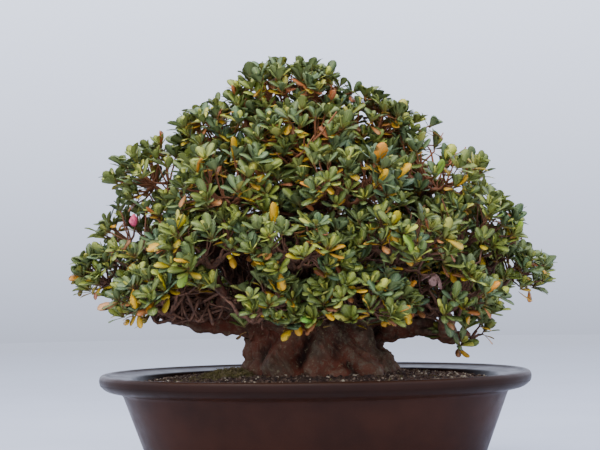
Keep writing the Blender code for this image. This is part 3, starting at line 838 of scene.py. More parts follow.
@dataclass
class Studio:
    """The camera, the soft lights and the plain pale surroundings."""

    eye: tuple = (-0.015, -2.3, 0.259)
    aim: tuple = (-0.015, 0.0, 0.288)
    roll_deg: float = -0.85
    lens: float = 119.0
    sensor: float = 36.0
    frame_px: tuple = (600, 450)
    room_colour: str = "#ccd4ea"
    floor_light: float = 1.15
    room_light: float = 2.9
    sky_light: float = 0.3
    wall_rise: tuple = (-0.045, 0.14)
    sky_top: float = 0.9
    key_place: tuple = (-0.6, -0.6, 2.3)
    key_aim: tuple = (0, 0, 0.25)
    key_size: float = 1.8
    key_power: float = 54
    key_colour: str = "#fffaf0"
    floor_middle: float = 1.1
    floor_radius: float = 3.6
    floor_fade: tuple = (0.5, 3.096)
    floor_height: float = -0.5 * MM
    floor_sides: int = 96

    def aimed(self, place: tuple, aim: tuple, roll_deg: float = 0.0) -> Matrix:
        """The place and turn of a camera or light that looks at something.

        Args:
            place: where it stands.
            aim: what it looks at.
            roll_deg: its turn round its line of sight.

        Returns:
            Its matrix.
        """
        look = (Vector(aim) - Vector(place)).to_track_quat("-Z", "Y").to_matrix().to_4x4()
        return Matrix.Translation(place) @ look @ Matrix.Rotation(math.radians(roll_deg), 4, "Z")

    def ray(self, across: float, down: float) -> tuple:
        """The line of sight through a pixel.

        Args:
            across: pixels from the left edge.
            down: pixels from the top edge.

        Returns:
            The eye, and the direction as a unit vector.
        """
        wide, high = self.frame_px
        scale = self.sensor / self.lens / wide
        local = Vector(((across - wide / 2) * scale, (high / 2 - down) * scale, -1))
        turn = self.aimed(self.eye, self.aim, self.roll_deg).to_3x3()
        return Vector(self.eye), (turn @ local).normalized()

    def at_trunk(self, place: Vector) -> Vector:
        """Where a place shows on the upright plane through the trunk.

        Args:
            place: a place in metres.

        Returns:
            How far across and up it shows, in metres.
        """
        eye = Vector(self.eye)
        seen = eye + (place - eye) * (-eye.y / (place.y - eye.y))
        return Vector((seen.x, seen.z))

    def build_camera(self) -> None:
        """Sets the camera at the photograph's viewing angle."""
        camera = bpy.data.cameras.new("camera")
        configure(camera, {"lens": self.lens, "sensor_width": self.sensor})
        thing = linked("camera", camera)
        thing.matrix_world = self.aimed(self.eye, self.aim, self.roll_deg)
        bpy.context.scene.camera = thing

    def build_floor(self) -> None:
        """Builds the plain pale floor, a disc that fades into the room's colour at its edge."""
        points = [(0.0, 0.0, self.floor_height)]
        for radius in (self.floor_middle, self.floor_radius):
            for turn in turns(self.floor_sides):
                points.append((radius * math.cos(turn), radius * math.sin(turn), self.floor_height))
        faces = [(0, 1 + i, 1 + (i + 1) % self.floor_sides) for i in range(self.floor_sides)]
        faces += [tuple(reversed(face)) for face in ring_faces(2, self.floor_sides, 1)]
        # Rolled emulsion paint: dead matt, with broad faint clouds and no grain that shows.
        s = Surface("matt_floor_paint")
        away = s.node("VectorMath", {0: s.place}, operation="LENGTH").outputs["Value"]
        tone = s.cover("#b4b8c2", "#babec8", s.grain(300), 0.35, 0.65)
        inputs = {
            "Base Color": s.cover(tone, "#000000", away, *self.floor_fade),
            "Roughness": 0.95,
            "Specular IOR Level": 0.1,
            "Emission Color": s.cover("#000000", self.room_colour, away, *self.floor_fade),
            "Emission Strength": self.floor_light,
        }
        fill(s.tree, s.shader, inputs)
        floor = linked("floor", mesh_from("floor", points, faces))
        dress(floor, s.material)

    def build_lights(self) -> None:
        """Hangs the softbox and lights the room, brighter from above."""
        light = bpy.data.lights.new("key", "AREA")
        configure(light, {"shape": "SQUARE", "size": self.key_size, "energy": self.key_power})
        light.color = linear(self.key_colour)[:3]
        linked("key", light).matrix_world = self.aimed(self.key_place, self.key_aim)
        world = bpy.data.worlds.new("room")
        world.use_nodes = True
        tree = world.node_tree
        aim = add_node(tree, "ShaderNodeTexCoord").outputs["Generated"]
        up = add_node(tree, "ShaderNodeSeparateXYZ", {0: aim}).outputs["Z"]
        low, high = self.wall_rise
        wall = {0: up, 1: low, 2: high, 3: self.floor_light, 4: self.room_light}
        sky = {0: up, 1: high, 2: self.sky_top, 3: 0.0, 4: self.sky_light}
        first, second = (add_node(tree, "ShaderNodeMapRange", part).outputs[0] for part in (wall, sky))
        both = add_node(tree, "ShaderNodeMath", {0: first, 1: second}, operation="ADD").outputs[0]
        fill(tree, tree.nodes["Background"], {"Strength": both, "Color": self.room_colour})
        bpy.context.scene.world = world


# The pot


@dataclass
class Pot:
    """The oval stoneware pot. Its wall runs through corners of inset, height and rounding in mm."""

    half_length: float = 250 * MM
    half_depth: float = 190 * MM
    power: float = 2.15
    sides: int = 160
    corner_steps: int = 5
    underside: float = 12 * MM
    floor: float = 24 * MM
    foot_outer: float = 63 * MM
    foot_inner: float = 80 * MM
    foot_spread: float = 2 * MM
    foot_overlap: float = 1 * MM
    foot_end_gap: float = 70 * MM
    foot_side_gap: float = 92 * MM
    cutter_reach: float = 300 * MM
    drain_x: float = 95 * MM
    drain_radius: float = 13 * MM
    drain_sides: int = 40
    sharp_deg: float = 40
    corners: tuple = (
        (84, 12, 0), (57.5, 12, 6), (27, 95.8, 4), (5.5, 100.6, 8), (-0.3, 109.5, 5), (1.8, 118, 4),
        (8, 118, 2), (10.6, 115.5, 2.5), (38, 113.2, 3.5), (42.5, 100, 0), (64.5, 24, 4), (90, 24, 0),
    )

    def profile(self) -> list:
        """The wall's outline with its corners rounded, as (inset, height) points in metres."""
        outline = []
        for i, (inset, height, cut) in enumerate(self.corners):
            corner = Vector((inset, height))
            if cut == 0:
                outline.append(tuple(corner * MM))
                continue
            before, after = (
                corner + (Vector(self.corners[j][:2]) - corner).normalized() * cut for j in (i - 1, i + 1)
            )
            for k in range(self.corner_steps + 1):
                outline.append(tuple(bend(before, corner, after, k / self.corner_steps) * MM))
        return outline

    def ring(self, inset: float, height: float) -> list:
        """One ring of the oval.

        Args:
            inset: how far the ring is drawn in from the rim, in metres.
            height: its height, in metres.

        Returns:
            The points.
        """
        points = []
        for turn in turns(self.sides):
            x = signed_power(math.cos(turn), 2 / self.power) * (self.half_length - inset)
            y = signed_power(math.sin(turn), 2 / self.power) * (self.half_depth - inset)
            points.append((x, y, height))
        return points

    def solid(self, outline: Sequence, closed: bool) -> Thing:
        """Skins rings of the oval into an object.

        Args:
            outline: each ring's inset and height.
            closed: whether the last ring meets the first. Otherwise both ends are capped.

        Returns:
            The object.
        """
        points = [p for inset, height in outline for p in self.ring(inset, height)]
        around, last = self.sides, len(points) - self.sides
        faces = ring_faces(len(outline), around)
        if closed:
            faces += [(last + i, last + (i + 1) % around, (i + 1) % around, i) for i in range(around)]
        else:
            faces += [tuple(reversed(range(around))), tuple(range(last, len(points)))]
        mesh = mesh_from("pot_part", points, faces)
        with editing(mesh) as shape:
            bmesh.ops.recalc_face_normals(shape, faces=shape.faces)
        return linked("pot_part", mesh)

    def combine(self, target: Thing, tool: Union[Thing, Shape], join: Join) -> None:
        """Joins a tool to the target or cuts it out.

        Args:
            target: the object that changes.
            tool: the other object or bmesh, which is removed.
            join: which of the two it is.
        """
        if isinstance(tool, Shape):
            tool = linked("pot_tool", from_bmesh("pot_tool", tool))
        modify(target, boolean={"operation": join.value, "solver": "EXACT", "object": tool})
        bpy.data.objects.remove(tool, do_unlink=True)

    def gap(self, half_x: float, half_y: float) -> Shape:
        """The box that clears the skirt between two feet.

        Args:
            half_x: its half length.
            half_y: its half depth.

        Returns:
            Its bmesh, from below the pot to just above the underside.
        """
        low = Vector((-half_x, -half_y, -self.cutter_reach))
        high = Vector((half_x, half_y, self.underside + self.foot_overlap / 2))
        shape = bmesh.new()
        place = Matrix.Translation((high + low) / 2) @ Matrix.Diagonal((*(high - low), 1))
        bmesh.ops.create_cube(shape, size=1, matrix=place)
        return shape

    def build(self, material: Material) -> None:
        """Builds the pot with its feet and drain holes.

        Args:
            material: the stoneware.
        """
        pot = self.solid(self.profile(), closed=False)
        foot_top = self.underside + self.foot_overlap
        skirt = (
            (self.foot_outer + self.foot_spread, 0), (self.foot_outer, foot_top),
            (self.foot_inner, foot_top), (self.foot_inner + self.foot_spread, 0),
        )
        feet = self.solid(skirt, closed=True)
        self.combine(feet, self.gap(self.cutter_reach, self.foot_end_gap), Join.CUT)
        self.combine(feet, self.gap(self.foot_side_gap, self.cutter_reach), Join.CUT)
        self.combine(pot, feet, Join.ADD)
        for side in (-1, 1):
            shape = bmesh.new()
            bmesh.ops.create_cone(
                shape, cap_ends=True, segments=self.drain_sides, radius1=self.drain_radius,
                radius2=self.drain_radius, depth=2 * self.floor,
                matrix=Matrix.Translation((side * self.drain_x, 0, self.underside)),
            )
            self.combine(pot, shape, Join.CUT)
        pot.name = "pot_stoneware"
        dress(pot, material, self.sharp_deg)
        place_piece(pot, "clay", "pot")


# The wood


@dataclass
class Trunk:
    """The trunk and limbs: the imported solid, smoothed and given its craggy bark."""

    voxel: float = 1.8 * MM
    axis_x: float = 3 * MM
    radius: float = 75 * MM
    flatness: float = 1.3
    soil_line: float = 118 * MM
    buried: float = 6 * MM
    stump_height: float = 105 * MM
    stump_fade: float = 50 * MM
    crag: float = 11.0 * MM
    crag_sunk: float = 0.2
    fibre: float = 4.2 * MM
    limb_crag: float = 1.0 * MM
    root_flare: float = 9.0 * MM
    root_height: float = 24 * MM
    furrow_size: float = 21 * MM
    knob_size: float = 16 * MM
    pit_size: float = 7.5 * MM
    strand_size: tuple = (6.5 * MM, 17 * MM)
    patch_size: float = 20 * MM
    root_size: float = 30 * MM
    limb_size: float = 9 * MM
    seam_share: float = 0.1
    ridge_share: float = 0.55
    knob_share: float = 0.26
    hollow_depth: float = 14 * MM
    plain_depth: float = 0.55
    kept_share: float = 0.62
    folds: tuple = (
        (-18, 166, -47, 130, 9, 9), (-35, 127, -33, 123, 8, 4), (8, 149, -7, 124, 9, 8),
        (-7, 161, -16, 134, 8, -8), (38, 128, 43, 118, 6, -9), (70, 166, 76, 146, 6, -9),
        (50, 165, 62, 120, 12, 7), (-66, 152, -70, 124, 10, 6), (24, 162, 22, 128, 7, -5),
        (-42, 160, -62, 138, 6, -6), (84, 134, 92, 120, 8, 5),
    )

    def fold(self, place: Vector, normal: Vector) -> float:
        """How far the ridges and hollows that show in front move a place.

        Args:
            place: a point of the smooth trunk.
            normal: its outward normal.

        Returns:
            The offset in metres. Each fold runs between two (x, z) ends, with its width and rise in mm.
        """
        facing = clamp(-1.8 * normal.y)
        if facing == 0.0 or place.y > 0:
            return 0.0
        here = Vector((place.x, place.z)) / MM
        total = 0.0
        for x0, z0, x1, z1, width, rise in self.folds:
            start, run = Vector((x0, z0)), Vector((x1 - x0, z1 - z0))
            share = clamp((here - start).dot(run) / run.length_squared)
            away = (here - start - run * share).length / width
            total += rise * math.exp(-away * away)
        return total * facing * MM

    def furrows(self, slide: Vector, turn: float) -> float:
        """The upright furrows, blended where the turn round the trunk closes.

        Args:
            slide: the place on the unrolled trunk.
            turn: its turn round the trunk in radians.

        Returns:
            1 on a ridge, and below 0 in a furrow.
        """
        seam = slide + Vector((math.tau * self.radius, 0, 0))
        first, other = (abs(noise.noise(place / self.furrow_size)) for place in (slide, seam))
        blend = max(0.0, ((turn + math.pi) / math.tau - 1 + self.seam_share) / self.seam_share)
        return 1 - 2.2 * (first * (1 - blend) + other * blend)

    def crags(self, place: Vector, normal: Vector) -> tuple:
        """How far the bark stands out at a place.

        Args:
            place: a point of the smooth trunk.
            normal: its outward normal.

        Returns:
            The offset in metres, and the depth value from 0, in a hollow, to 1, on a ridge.
        """
        height = place.z - self.soil_line
        stump = clamp((self.stump_height - height) / self.stump_fade)
        turn = math.atan2(place.y * self.flatness, place.x - self.axis_x)
        slide = Vector((turn * self.radius + 0.55 * height, height * 0.42, 7.3))
        knobs = noise.noise(place / self.knob_size)
        pits = noise.noise(place / self.pit_size + Vector((3, 9, 1)))
        stump_form = self.ridge_share * self.furrows(slide, turn) + self.knob_share * knobs
        stump_form += self.knob_share * pits
        drawn_out = Vector((place.x, place.y, place.z * 0.6))
        limb_form = 0.7 * noise.noise(drawn_out / self.limb_size) + 0.5 * pits
        across, along = self.strand_size
        strand = 1 - 2.4 * abs(noise.noise(Vector((slide.x / across, slide.y / along, 3.1))))
        patch = 0.4 + 2.4 * noise.noise(place / self.patch_size + Vector((5, 5, 5))) ** 2
        fold = self.fold(place, normal) + self.fibre * strand * patch
        flare = 0.35 + 1.6 * max(0.0, noise.noise(slide / self.root_size))
        root = self.root_flare * max(0.0, 1 - height / self.root_height) ** 1.5 * flare
        offset = stump * (self.crag * (stump_form - self.crag_sunk) + fold + root)
        offset += (1 - stump) * self.limb_crag * limb_form
        depth = stump * (0.5 * stump_form + fold / self.hollow_depth) + (1 - stump) * 0.4 * limb_form
        return offset, clamp(self.plain_depth + depth)

    def build(self, material: Material) -> Thing:
        """Builds the trunk with its limbs.

        Args:
            material: the bark.

        Returns:
            The piece.
        """
        wood = cad_copy("trunk_and_limbs", "azalea_trunk")
        remesh = {"mode": "VOXEL", "voxel_size": self.voxel}
        modify(wood, remesh=remesh, smooth={"factor": 0.6, "iterations": 4})
        places, depths = [], []
        for vert in wood.data.vertices:
            offset, depth = self.crags(vert.co, vert.normal)
            if vert.co.z < self.soil_line - self.buried:
                offset = min(offset, 0.0)
            places.append(vert.co + vert.normal * offset)
            depths.append(depth)
        for vert, place in zip(wood.data.vertices, places):
            vert.co = place
        # bark_depth is 0 in a hollow and 1 on a ridge. The bark uses it for painted shade and a painted
        # highlight.
        keep(wood.data, "bark_depth", "FLOAT", depths)
        modify(wood, decimate={"ratio": self.kept_share})
        dress(wood, material)
        place_piece(wood, "bark", "trunk_and_limbs")
        return wood


# The leaves


@dataclass(frozen=True)
class BladeShape:
    """One leaf's form: how it folds, curls and waves. Its length is 1 and its tip is blunt."""

    fold: float
    curl: float
    lift: float
    wave: float
    width: float = 0.47
    thick: float = 0.025
    rows: tuple = ((0.0, 0.10), (0.24, 0.50), (0.52, 0.94), (0.77, 0.98), (0.93, 0.60))
    columns: tuple = (-1.0, 0.0, 1.0)
    steps: int = 12

    def spine(self, share: float) -> tuple:
        """The midrib at a share of the length.

        Args:
            share: 0 at the stalk, 1 at the tip.

        Returns:
            How far it is forward, how far up, and its slope.
        """
        forward = up = 0.0
        angle = self.lift
        for i in range(self.steps):
            t = share * (i + 0.5) / self.steps
            angle = self.lift - self.curl * t * t
            forward += math.cos(angle) * share / self.steps
            up += math.sin(angle) * share / self.steps
        return forward, up, angle

    def build(self, name: str) -> Mesh:
        """Builds the closed, thin blade. It grows along +Y with its face up.

        Args:
            name: the mesh's name.

        Returns:
            The mesh, with the attributes blade_uv and underside.
        """
        points, uvs, tops, keels = [], [], [], []
        for share, wide in self.rows:
            forward, up, angle = self.spine(share)
            half = 0.5 * self.width * wide
            tops.append(range(len(points), len(points) + len(self.columns)))
            rises = []
            for u in self.columns:
                ripple = self.wave * math.sin(share * 9 + (2 if u > 0 else 0)) * abs(u) * wide
                rises.append((u, self.fold * abs(u) * half - 0.16 * u * u * half + ripple))
            keels.append(tops[-1].stop)
            for u, rise in (*rises, (0, -self.thick * (1 - 0.5 * share))):
                points.append((u * half, forward - math.sin(angle) * rise, up + math.cos(angle) * rise))
                uvs.append((u, share, 0))
        tip = len(points)
        points.append((0, *self.spine(1.0)[:2]))
        uvs.append((0, 1, 0))
        runs = range(len(self.columns) - 1)
        parts = []
        for low, high, keel, next_keel in zip(tops, tops[1:], keels, keels[1:]):
            parts += [((low[a], low[a + 1], high[a + 1], high[a]), 0.0) for a in runs]
            parts += [((keel, low[0], high[0], next_keel), 1.0), ((low[-1], keel, next_keel, high[-1]), 1.0)]
        parts += [((tops[-1][a], tops[-1][a + 1], tip), 0.0) for a in runs]
        parts += [((keels[-1], tops[-1][0], tip), 1.0), ((tops[-1][-1], keels[-1], tip), 1.0)]
        parts.append(((*reversed(tops[0]), keels[0]), 1.0))
        mesh = mesh_from(name, points, [face for face, _ in parts])
        keep(mesh, "blade_uv", "FLOAT_VECTOR", uvs)
        keep(mesh, "underside", "FLOAT", [under for _, under in parts], "FACE")
        return mesh


LEAF_SHAPES = (
    BladeShape(fold=0.24, curl=0.35, lift=0.10, wave=0.012),
    BladeShape(fold=0.14, curl=0.70, lift=0.24, wave=0.020, width=0.50),
    BladeShape(fold=0.32, curl=0.15, lift=0.02, wave=0.014, width=0.43),
    BladeShape(fold=0.10, curl=0.95, lift=0.32, wave=0.024, width=0.52),
    BladeShape(fold=0.18, curl=-0.30, lift=-0.10, wave=0.016),
)
PALETTE = {
    Species.MATURE: (
        "#6c7822", "#5e6b28", "#7b872c", "#8b9432", "#566428", "#6f7d3a", "#52612e", "#949c3a", "#587046",
        "#506a4a", "#647c50",
    ),
    Species.YOUNG: ("#a6ac3a", "#98a23e", "#b4b244", "#bfb648"),
    Species.OLD: ("#d49c02", "#daa406", "#c98c04", "#c2a612", "#d29406", "#b99c16"),
    Species.SPENT: ("#bd6a2c", "#a35c2a", "#8e5430", "#b8743a", "#c67e32", "#aa5a38"),
}


@dataclass(frozen=True)
class Accent:
    """A leaf that the photograph shows plainly: its middle's pixel of 600 by 450, and its look."""

    across_px: float
    down_px: float
    colour: str
    length_mm: float


GOLD, AMBER, LEMON, RUST, LIME = "#d8a200", "#d0820c", "#c2ac10", "#ab5a2c", "#8caa34"
ACCENTS = tuple(
    Accent(*row)
    for row in (
        (273, 206, GOLD, 30), (409, 167, GOLD, 27), (381, 150, AMBER, 28), (385, 173, GOLD, 22),
        (233, 145, GOLD, 28), (200, 164, AMBER, 22), (244, 191, GOLD, 22), (184, 215, LEMON, 20),
        (232, 88, RUST, 22), (298, 82, RUST, 22), (335, 90, RUST, 22), (318, 92, RUST, 20),
        (160, 137, RUST, 22), (150, 250, GOLD, 26), (152, 266, LEMON, 22), (180, 261, GOLD, 22),
        (134, 299, GOLD, 26),
        (151, 304, AMBER, 24), (163, 285, LEMON, 26), (179, 287, LIME, 22), (74, 279, AMBER, 26),
        (108, 306, "#bb8450", 27), (274, 287, GOLD, 24), (262, 264, GOLD, 22), (293, 257, LEMON, 22),
        (358, 290, GOLD, 26), (367, 307, GOLD, 22), (386, 305, GOLD, 20), (412, 306, AMBER, 22),
        (418, 281, AMBER, 20), (500, 283, AMBER, 24), (407, 243, LIME, 34), (453, 244, "#c29d22", 27),
        (426, 222, RUST, 22), (398, 213, LEMON, 22), (518, 228, LIME, 24), (465, 178, GOLD, 22),
        (451, 338, "#43542e", 26), (310, 321, "#6aa034", 24), (329, 187, GOLD, 22), (303, 184, AMBER, 20),
        (441, 164, LIME, 24), (495, 216, LIME, 22), (146, 207, RUST, 20),
    )
)


@dataclass(frozen=True)
class Opening:
    """A gap in the crown that shows wood or the wall: its middle and half sizes in mm at the trunk."""

    x: float
    z: float
    half_x: float
    half_z: float
    kept: float = 0.08
    through: bool = False

    def holds(self, seen: Vector) -> bool:
        """Whether a place, in metres across and up, lies in the gap."""
        return ((seen.x / MM - self.x) / self.half_x) ** 2 + ((seen.y / MM - self.z) / self.half_z) ** 2 < 1


OPENINGS = tuple(
    Opening(*row)
    for row in (
        (-130, 190, 58, 27, 0), (-92, 238, 34, 26, 0.04), (-195, 168, 75, 18, 0, True),
        (180, 388, 52, 28, 0, True), (-136, 436, 20, 14, 0, True), (-256, 269, 24, 12, 0, True),
        (222, 156, 24, 15, 0, True), (252, 198, 20, 14, 0, True), (254, 271, 18, 8, 0, True),
        (-262, 206, 22, 12, 0, True), (16, 352, 24, 7), (60, 262, 16, 14), (128, 222, 40, 12),
        (205, 235, 26, 12), (-30, 290, 14, 12), (100, 300, 16, 10), (-128, 296, 18, 10),
    )
)
EXTRA_HUBS_MM = {
    "top_apex": (
        (-70, -6, 461), (-56, 4, 468), (-84, 2, 447), (-38, -12, 468), (4, -6, 465), (20, 4, 458),
        (34, -8, 448), (50, 2, 442), (-8, 8, 468), (-90, -8, 434),
    ),
    "top_right": (
        (62, -10, 436), (82, 2, 424), (102, -12, 412), (120, 2, 406), (144, 4, 378), (138, -10, 401),
        (94, 20, 412), (76, -4, 434),
    ),
    "top_left": ((-108, 0, 412), (-132, -8, 405), (-148, 4, 393)),
    "upper_left": ((-176, -4, 384), (-190, 4, 378), (-206, -8, 370), (-218, 2, 360), (-228, -6, 342)),
    "low_left": ((-265, -4, 247), (-261, 12, 236), (-260, -22, 242), (-265, 4, 226)),
}


@dataclass
class Blades:
    """Blades waiting to be set out: places, turns, sizes, kinds and colours."""

    draw: random.Random
    shortened: float = 0.86
    spare_share: float = 0.1
    places: list = field(default_factory=list)
    turns: list = field(default_factory=list)
    sizes: list = field(default_factory=list)
    kinds: list = field(default_factory=list)
    colours: list = field(default_factory=list)

    def add(
        self, base: Vector, along: Vector, face: Vector, length: float, wide: float, colour: tuple
    ) -> None:
        """Adds one blade of a drawn kind. It is shortened near the side of the CAD box, or left out.

        Args:
            base: where the leaf stalk starts.
            along: the direction the leaf grows in.
            face: roughly where its upper face looks.
            length: its length in metres.
            wide: its width as a share of the usual one.
            colour: its linear RGB.
        """
        kind = self.draw.randrange(len(LEAF_SHAPES))
        y = along.normalized()
        x = y.cross(face)
        x = x.normalized() if x.length > 1e-6 else y.orthogonal().normalized()
        spare = self.spare_share * length
        for last in (False, False, True):
            tip = base + y * length
            if any(tip[i] < CAD_BOX[0][i] + spare or tip[i] > CAD_BOX[1][i] - spare for i in range(3)):
                if last:
                    return
                length *= self.shortened
        self.places.append(base)
        self.turns.append(Matrix((x, y, x.cross(y))).transposed().to_quaternion())
        self.sizes.append((length * wide, length, length))
        self.kinds.append(kind)
        self.colours.append((*colour[:3], 1.0))

    def cloud(self, name: str) -> Thing:
        """Makes the object that carries the points.

        Args:
            name: its name.

        Returns:
            An object of loose points with the attributes that the blade tree reads.
        """
        mesh = mesh_from(name, self.places, [])
        keep(mesh, "blade_turn", "QUATERNION", self.turns)
        keep(mesh, "blade_size", "FLOAT_VECTOR", self.sizes)
        keep(mesh, "blade_kind", "INT", self.kinds)
        keep(mesh, "leaf_colour", "FLOAT_COLOR", self.colours)
        return linked(name, mesh)


@dataclass
class Shoot:
    """The end of one shoot: its hub, its axis and the spray that carries it."""

    spray: str
    hub: Vector
    axis: Vector
    size: float


@dataclass(frozen=True)
class Spray:
    """One leafy spray: its middle and half sizes, out to the leaf tips."""

    name: str
    middle: Vector
    half: Vector

    def depth_of(self, place: Vector) -> float:
        """How far out a place lies: 0 at the middle, 1 at the half sizes."""
        return share_out(place - self.middle, self.half)


SPRAYS = tuple(
    Spray(name, Vector(middle) * MM, Vector(half) * MM)
    for name, *middle, half in (
        ("top_apex", -24, -4, 432, (56, 52, 38)), ("top_left", -92, -6, 388, (60, 54, 38)),
        ("top_front", -12, -64, 380, (60, 50, 38)), ("top_right", 58, -2, 390, (60, 54, 38)),
        ("top_back", -16, 64, 384, (60, 50, 38)), ("upper_left", -160, 2, 336, (66, 58, 40)),
        ("upper_left_front", -92, -94, 326, (64, 54, 40)),
        ("upper_right_front", 40, -116, 324, (64, 54, 40)),
        ("upper_right", 136, -20, 342, (64, 58, 40)), ("upper_right_back", 76, 92, 336, (64, 54, 40)),
        ("upper_left_back", -72, 102, 332, (64, 54, 40)), ("mid_left", -188, -30, 272, (62, 56, 38)),
        ("mid_front_left", -112, -126, 258, (62, 52, 38)), ("mid_front", -20, -156, 254, (62, 48, 38)),
        ("mid_front_right", 90, -140, 260, (62, 52, 38)), ("mid_right", 174, -40, 278, (62, 56, 38)),
        ("mid_right_back", 148, 84, 276, (62, 54, 38)), ("mid_back", 34, 150, 276, (62, 50, 38)),
        ("mid_left_back", -128, 112, 272, (62, 54, 38)), ("low_left", -214, -6, 222, (60, 58, 34)),
        ("low_left_front", -162, -108, 204, (60, 52, 34)),
        ("low_front_left", -68, -152, 196, (58, 48, 34)),
        ("low_front_right", 46, -154, 198, (58, 48, 34)),
        ("low_right_front", 144, -110, 204, (60, 52, 34)),
        ("low_right", 211, -2, 226, (60, 58, 34)), ("low_right_back", 168, 100, 214, (60, 54, 34)),
        ("low_back_right", 70, 152, 216, (60, 48, 34)), ("low_back_left", -54, 154, 216, (60, 48, 34)),
        ("low_left_back", -168, 94, 216, (60, 54, 34)), ("low_right_drop", 176, -42, 160, (38, 32, 18)),
    )
)


@dataclass(frozen=True)
class Ageing:
    """A shoot's old leaves: the chance of any, the numbers to draw from, and the share of rusty ones."""

    chance: float
    numbers: tuple
    rusty: float


@dataclass
class Crown:
    """The crown's leaves: where its shoots end, and the whorls on them. Ranges are least and greatest."""

    studio: Studio
    sites: int = 54
    drop_sites: int = 8
    drop_half: float = 50 * MM
    ball_share: float = 1.5
    site_shift: float = 0.25
    boxy: float = 0.84
    reach: float = 0.96
    reach_range: tuple = (0.80, 1.04)
    top_reach: float = 1.12
    inner_depth: float = 0.62
    dome_half: tuple = (0.275, 0.215, 0.30)
    dome_foot: float = 0.17
    dome_depth: float = 0.60
    dome_cleared: float = 0.75
    flower_room: dict = field(default_factory=lambda: {"flower_bud": 27 * MM, "withered_bloom": 15 * MM})
    flower_front: float = 5 * MM
    heart: tuple = (0.0, 0.0, 0.20)
    outward: float = 0.42
    from_heart: float = 0.34
    upward: float = 0.74
    leaning: float = 0.26
    size_range: tuple = (0.82, 1.14)
    leaf_length: float = 22 * MM
    whorl: tuple = (5, 7)
    whorl_shift: float = 0.18
    young_leaves: int = 2
    young_inside: float = 0.8
    young_outside: float = 0.07
    outer_rise: tuple = (20, 66)
    inner_rise: tuple = (60, 80)
    old_rise: tuple = (-32, 20)
    outer_length: tuple = (0.78, 1.1)
    inner_length: tuple = (0.42, 0.62)
    old_length: tuple = (0.7, 1.0)
    width: tuple = (0.86, 1.12)
    old_width: tuple = (0.8, 1.05)
    below_tip_mm: tuple = (0.5, 5.5)
    old_below_tip_mm: tuple = (5, 10)
    colour_blend: tuple = (0, 0.6)
    colour_gain: tuple = (0.84, 1.08)
    drooping: float = 0.08
    shaded_below: float = 206 * MM
    shaded_gain: float = 0.76
    rust_height: float = 370 * MM
    ageing_low: Ageing = Ageing(0.66, (1, 1, 2, 3), 0.26)
    ageing_high: Ageing = Ageing(0.96, (1, 2, 3, 3), 0.62)
    accent_reach: float = 0.45
    accent_furthest: float = 1.1
    accent_miss_cost: float = 3
    accent_root: float = 4 * MM
    accent_front: float = 9 * MM
    shoots: list = field(default_factory=list)
    accents: dict = field(default_factory=dict)

    def depth_of(self, place: Vector) -> float:
        """How far out of the crown's dome a place lies: 1 at its outer skin."""
        return share_out((place.x, place.y, max(0, place.z - self.dome_foot)), self.dome_half)

    def site(self, spray: Spray, number: int, count: int, draw: random.Random) -> Vector:
        """A place for a shoot's end, on a boxy ball round a spray's middle.

        Args:
            spray: the spray.
            number: the place's number.
            count: the number of places.
            draw: the source of random numbers.

        Returns:
            The place.
        """
        z = 1 - self.ball_share * (number + 0.5) / count
        ring = math.sqrt(max(0.0, 1 - z * z))
        angle = GOLDEN_TURN * number + draw.uniform(-self.site_shift, self.site_shift)
        ball = Vector((ring * math.cos(angle), ring * math.sin(angle), z))
        out = Vector([signed_power(part, self.boxy) for part in ball])
        reach = self.reach * draw.uniform(*self.reach_range)
        a, b, c = spray.half
        return spray.middle + Vector((out.x * a, out.y * b, out.z * c * self.top_reach)) * reach

    def is_kept(self, spray: Spray, hub: Vector, chance: float, flowers: list) -> bool:
        """Whether a shoot ends at a place.

        Args:
            spray: the spray that would carry it.
            hub: the place.
            chance: the place's luck, 0 to 1.
            flowers: each flower's middle, where it shows, and its room.

        Returns:
            False inside the crown, in an opening, or in front of a flower.
        """
        inside = min(other.depth_of(hub) for other in SPRAYS if other is not spray)
        deep = self.depth_of(hub) < self.dome_depth and chance < self.dome_cleared
        if inside < self.inner_depth or deep:
            return False
        seen = self.studio.at_trunk(hub)
        if any((hub.y < 0 or o.through) and o.holds(seen) and chance > o.kept for o in OPENINGS):
            return False
        front = hub.y - self.flower_front
        return not any((seen - at).length < room and front < flower.y for flower, at, room in flowers)

    def find_shoots(self, draw: random.Random) -> None:
        """Sets out the ends of the shoots over every spray.

        Args:
            draw: the source of random numbers.
        """
        flowers = []
        for node, room in self.flower_room.items():
            middle = node_box(node)[2]
            flowers.append((middle, self.studio.at_trunk(middle), room))
        for spray in SPRAYS:
            count = self.sites if spray.half.x > self.drop_half else self.drop_sites
            hubs = []
            for number in range(count):
                hub = self.site(spray, number, count, draw)
                if self.is_kept(spray, hub, draw.random(), flowers):
                    hubs.append(hub)
            hubs += [Vector(place) * MM for place in EXTRA_HUBS_MM.get(spray.name, ())]
            for hub in hubs:
                lean = drawn(draw) * self.leaning
                out = Vector([off / half for off, half in zip(hub - spray.middle, spray.half)])
                axis = out * self.outward + (hub - Vector(self.heart)).normalized() * self.from_heart
                axis = (axis + UP * self.upward + lean).normalized()
                self.shoots.append(Shoot(spray.name, hub, axis, draw.uniform(*self.size_range)))

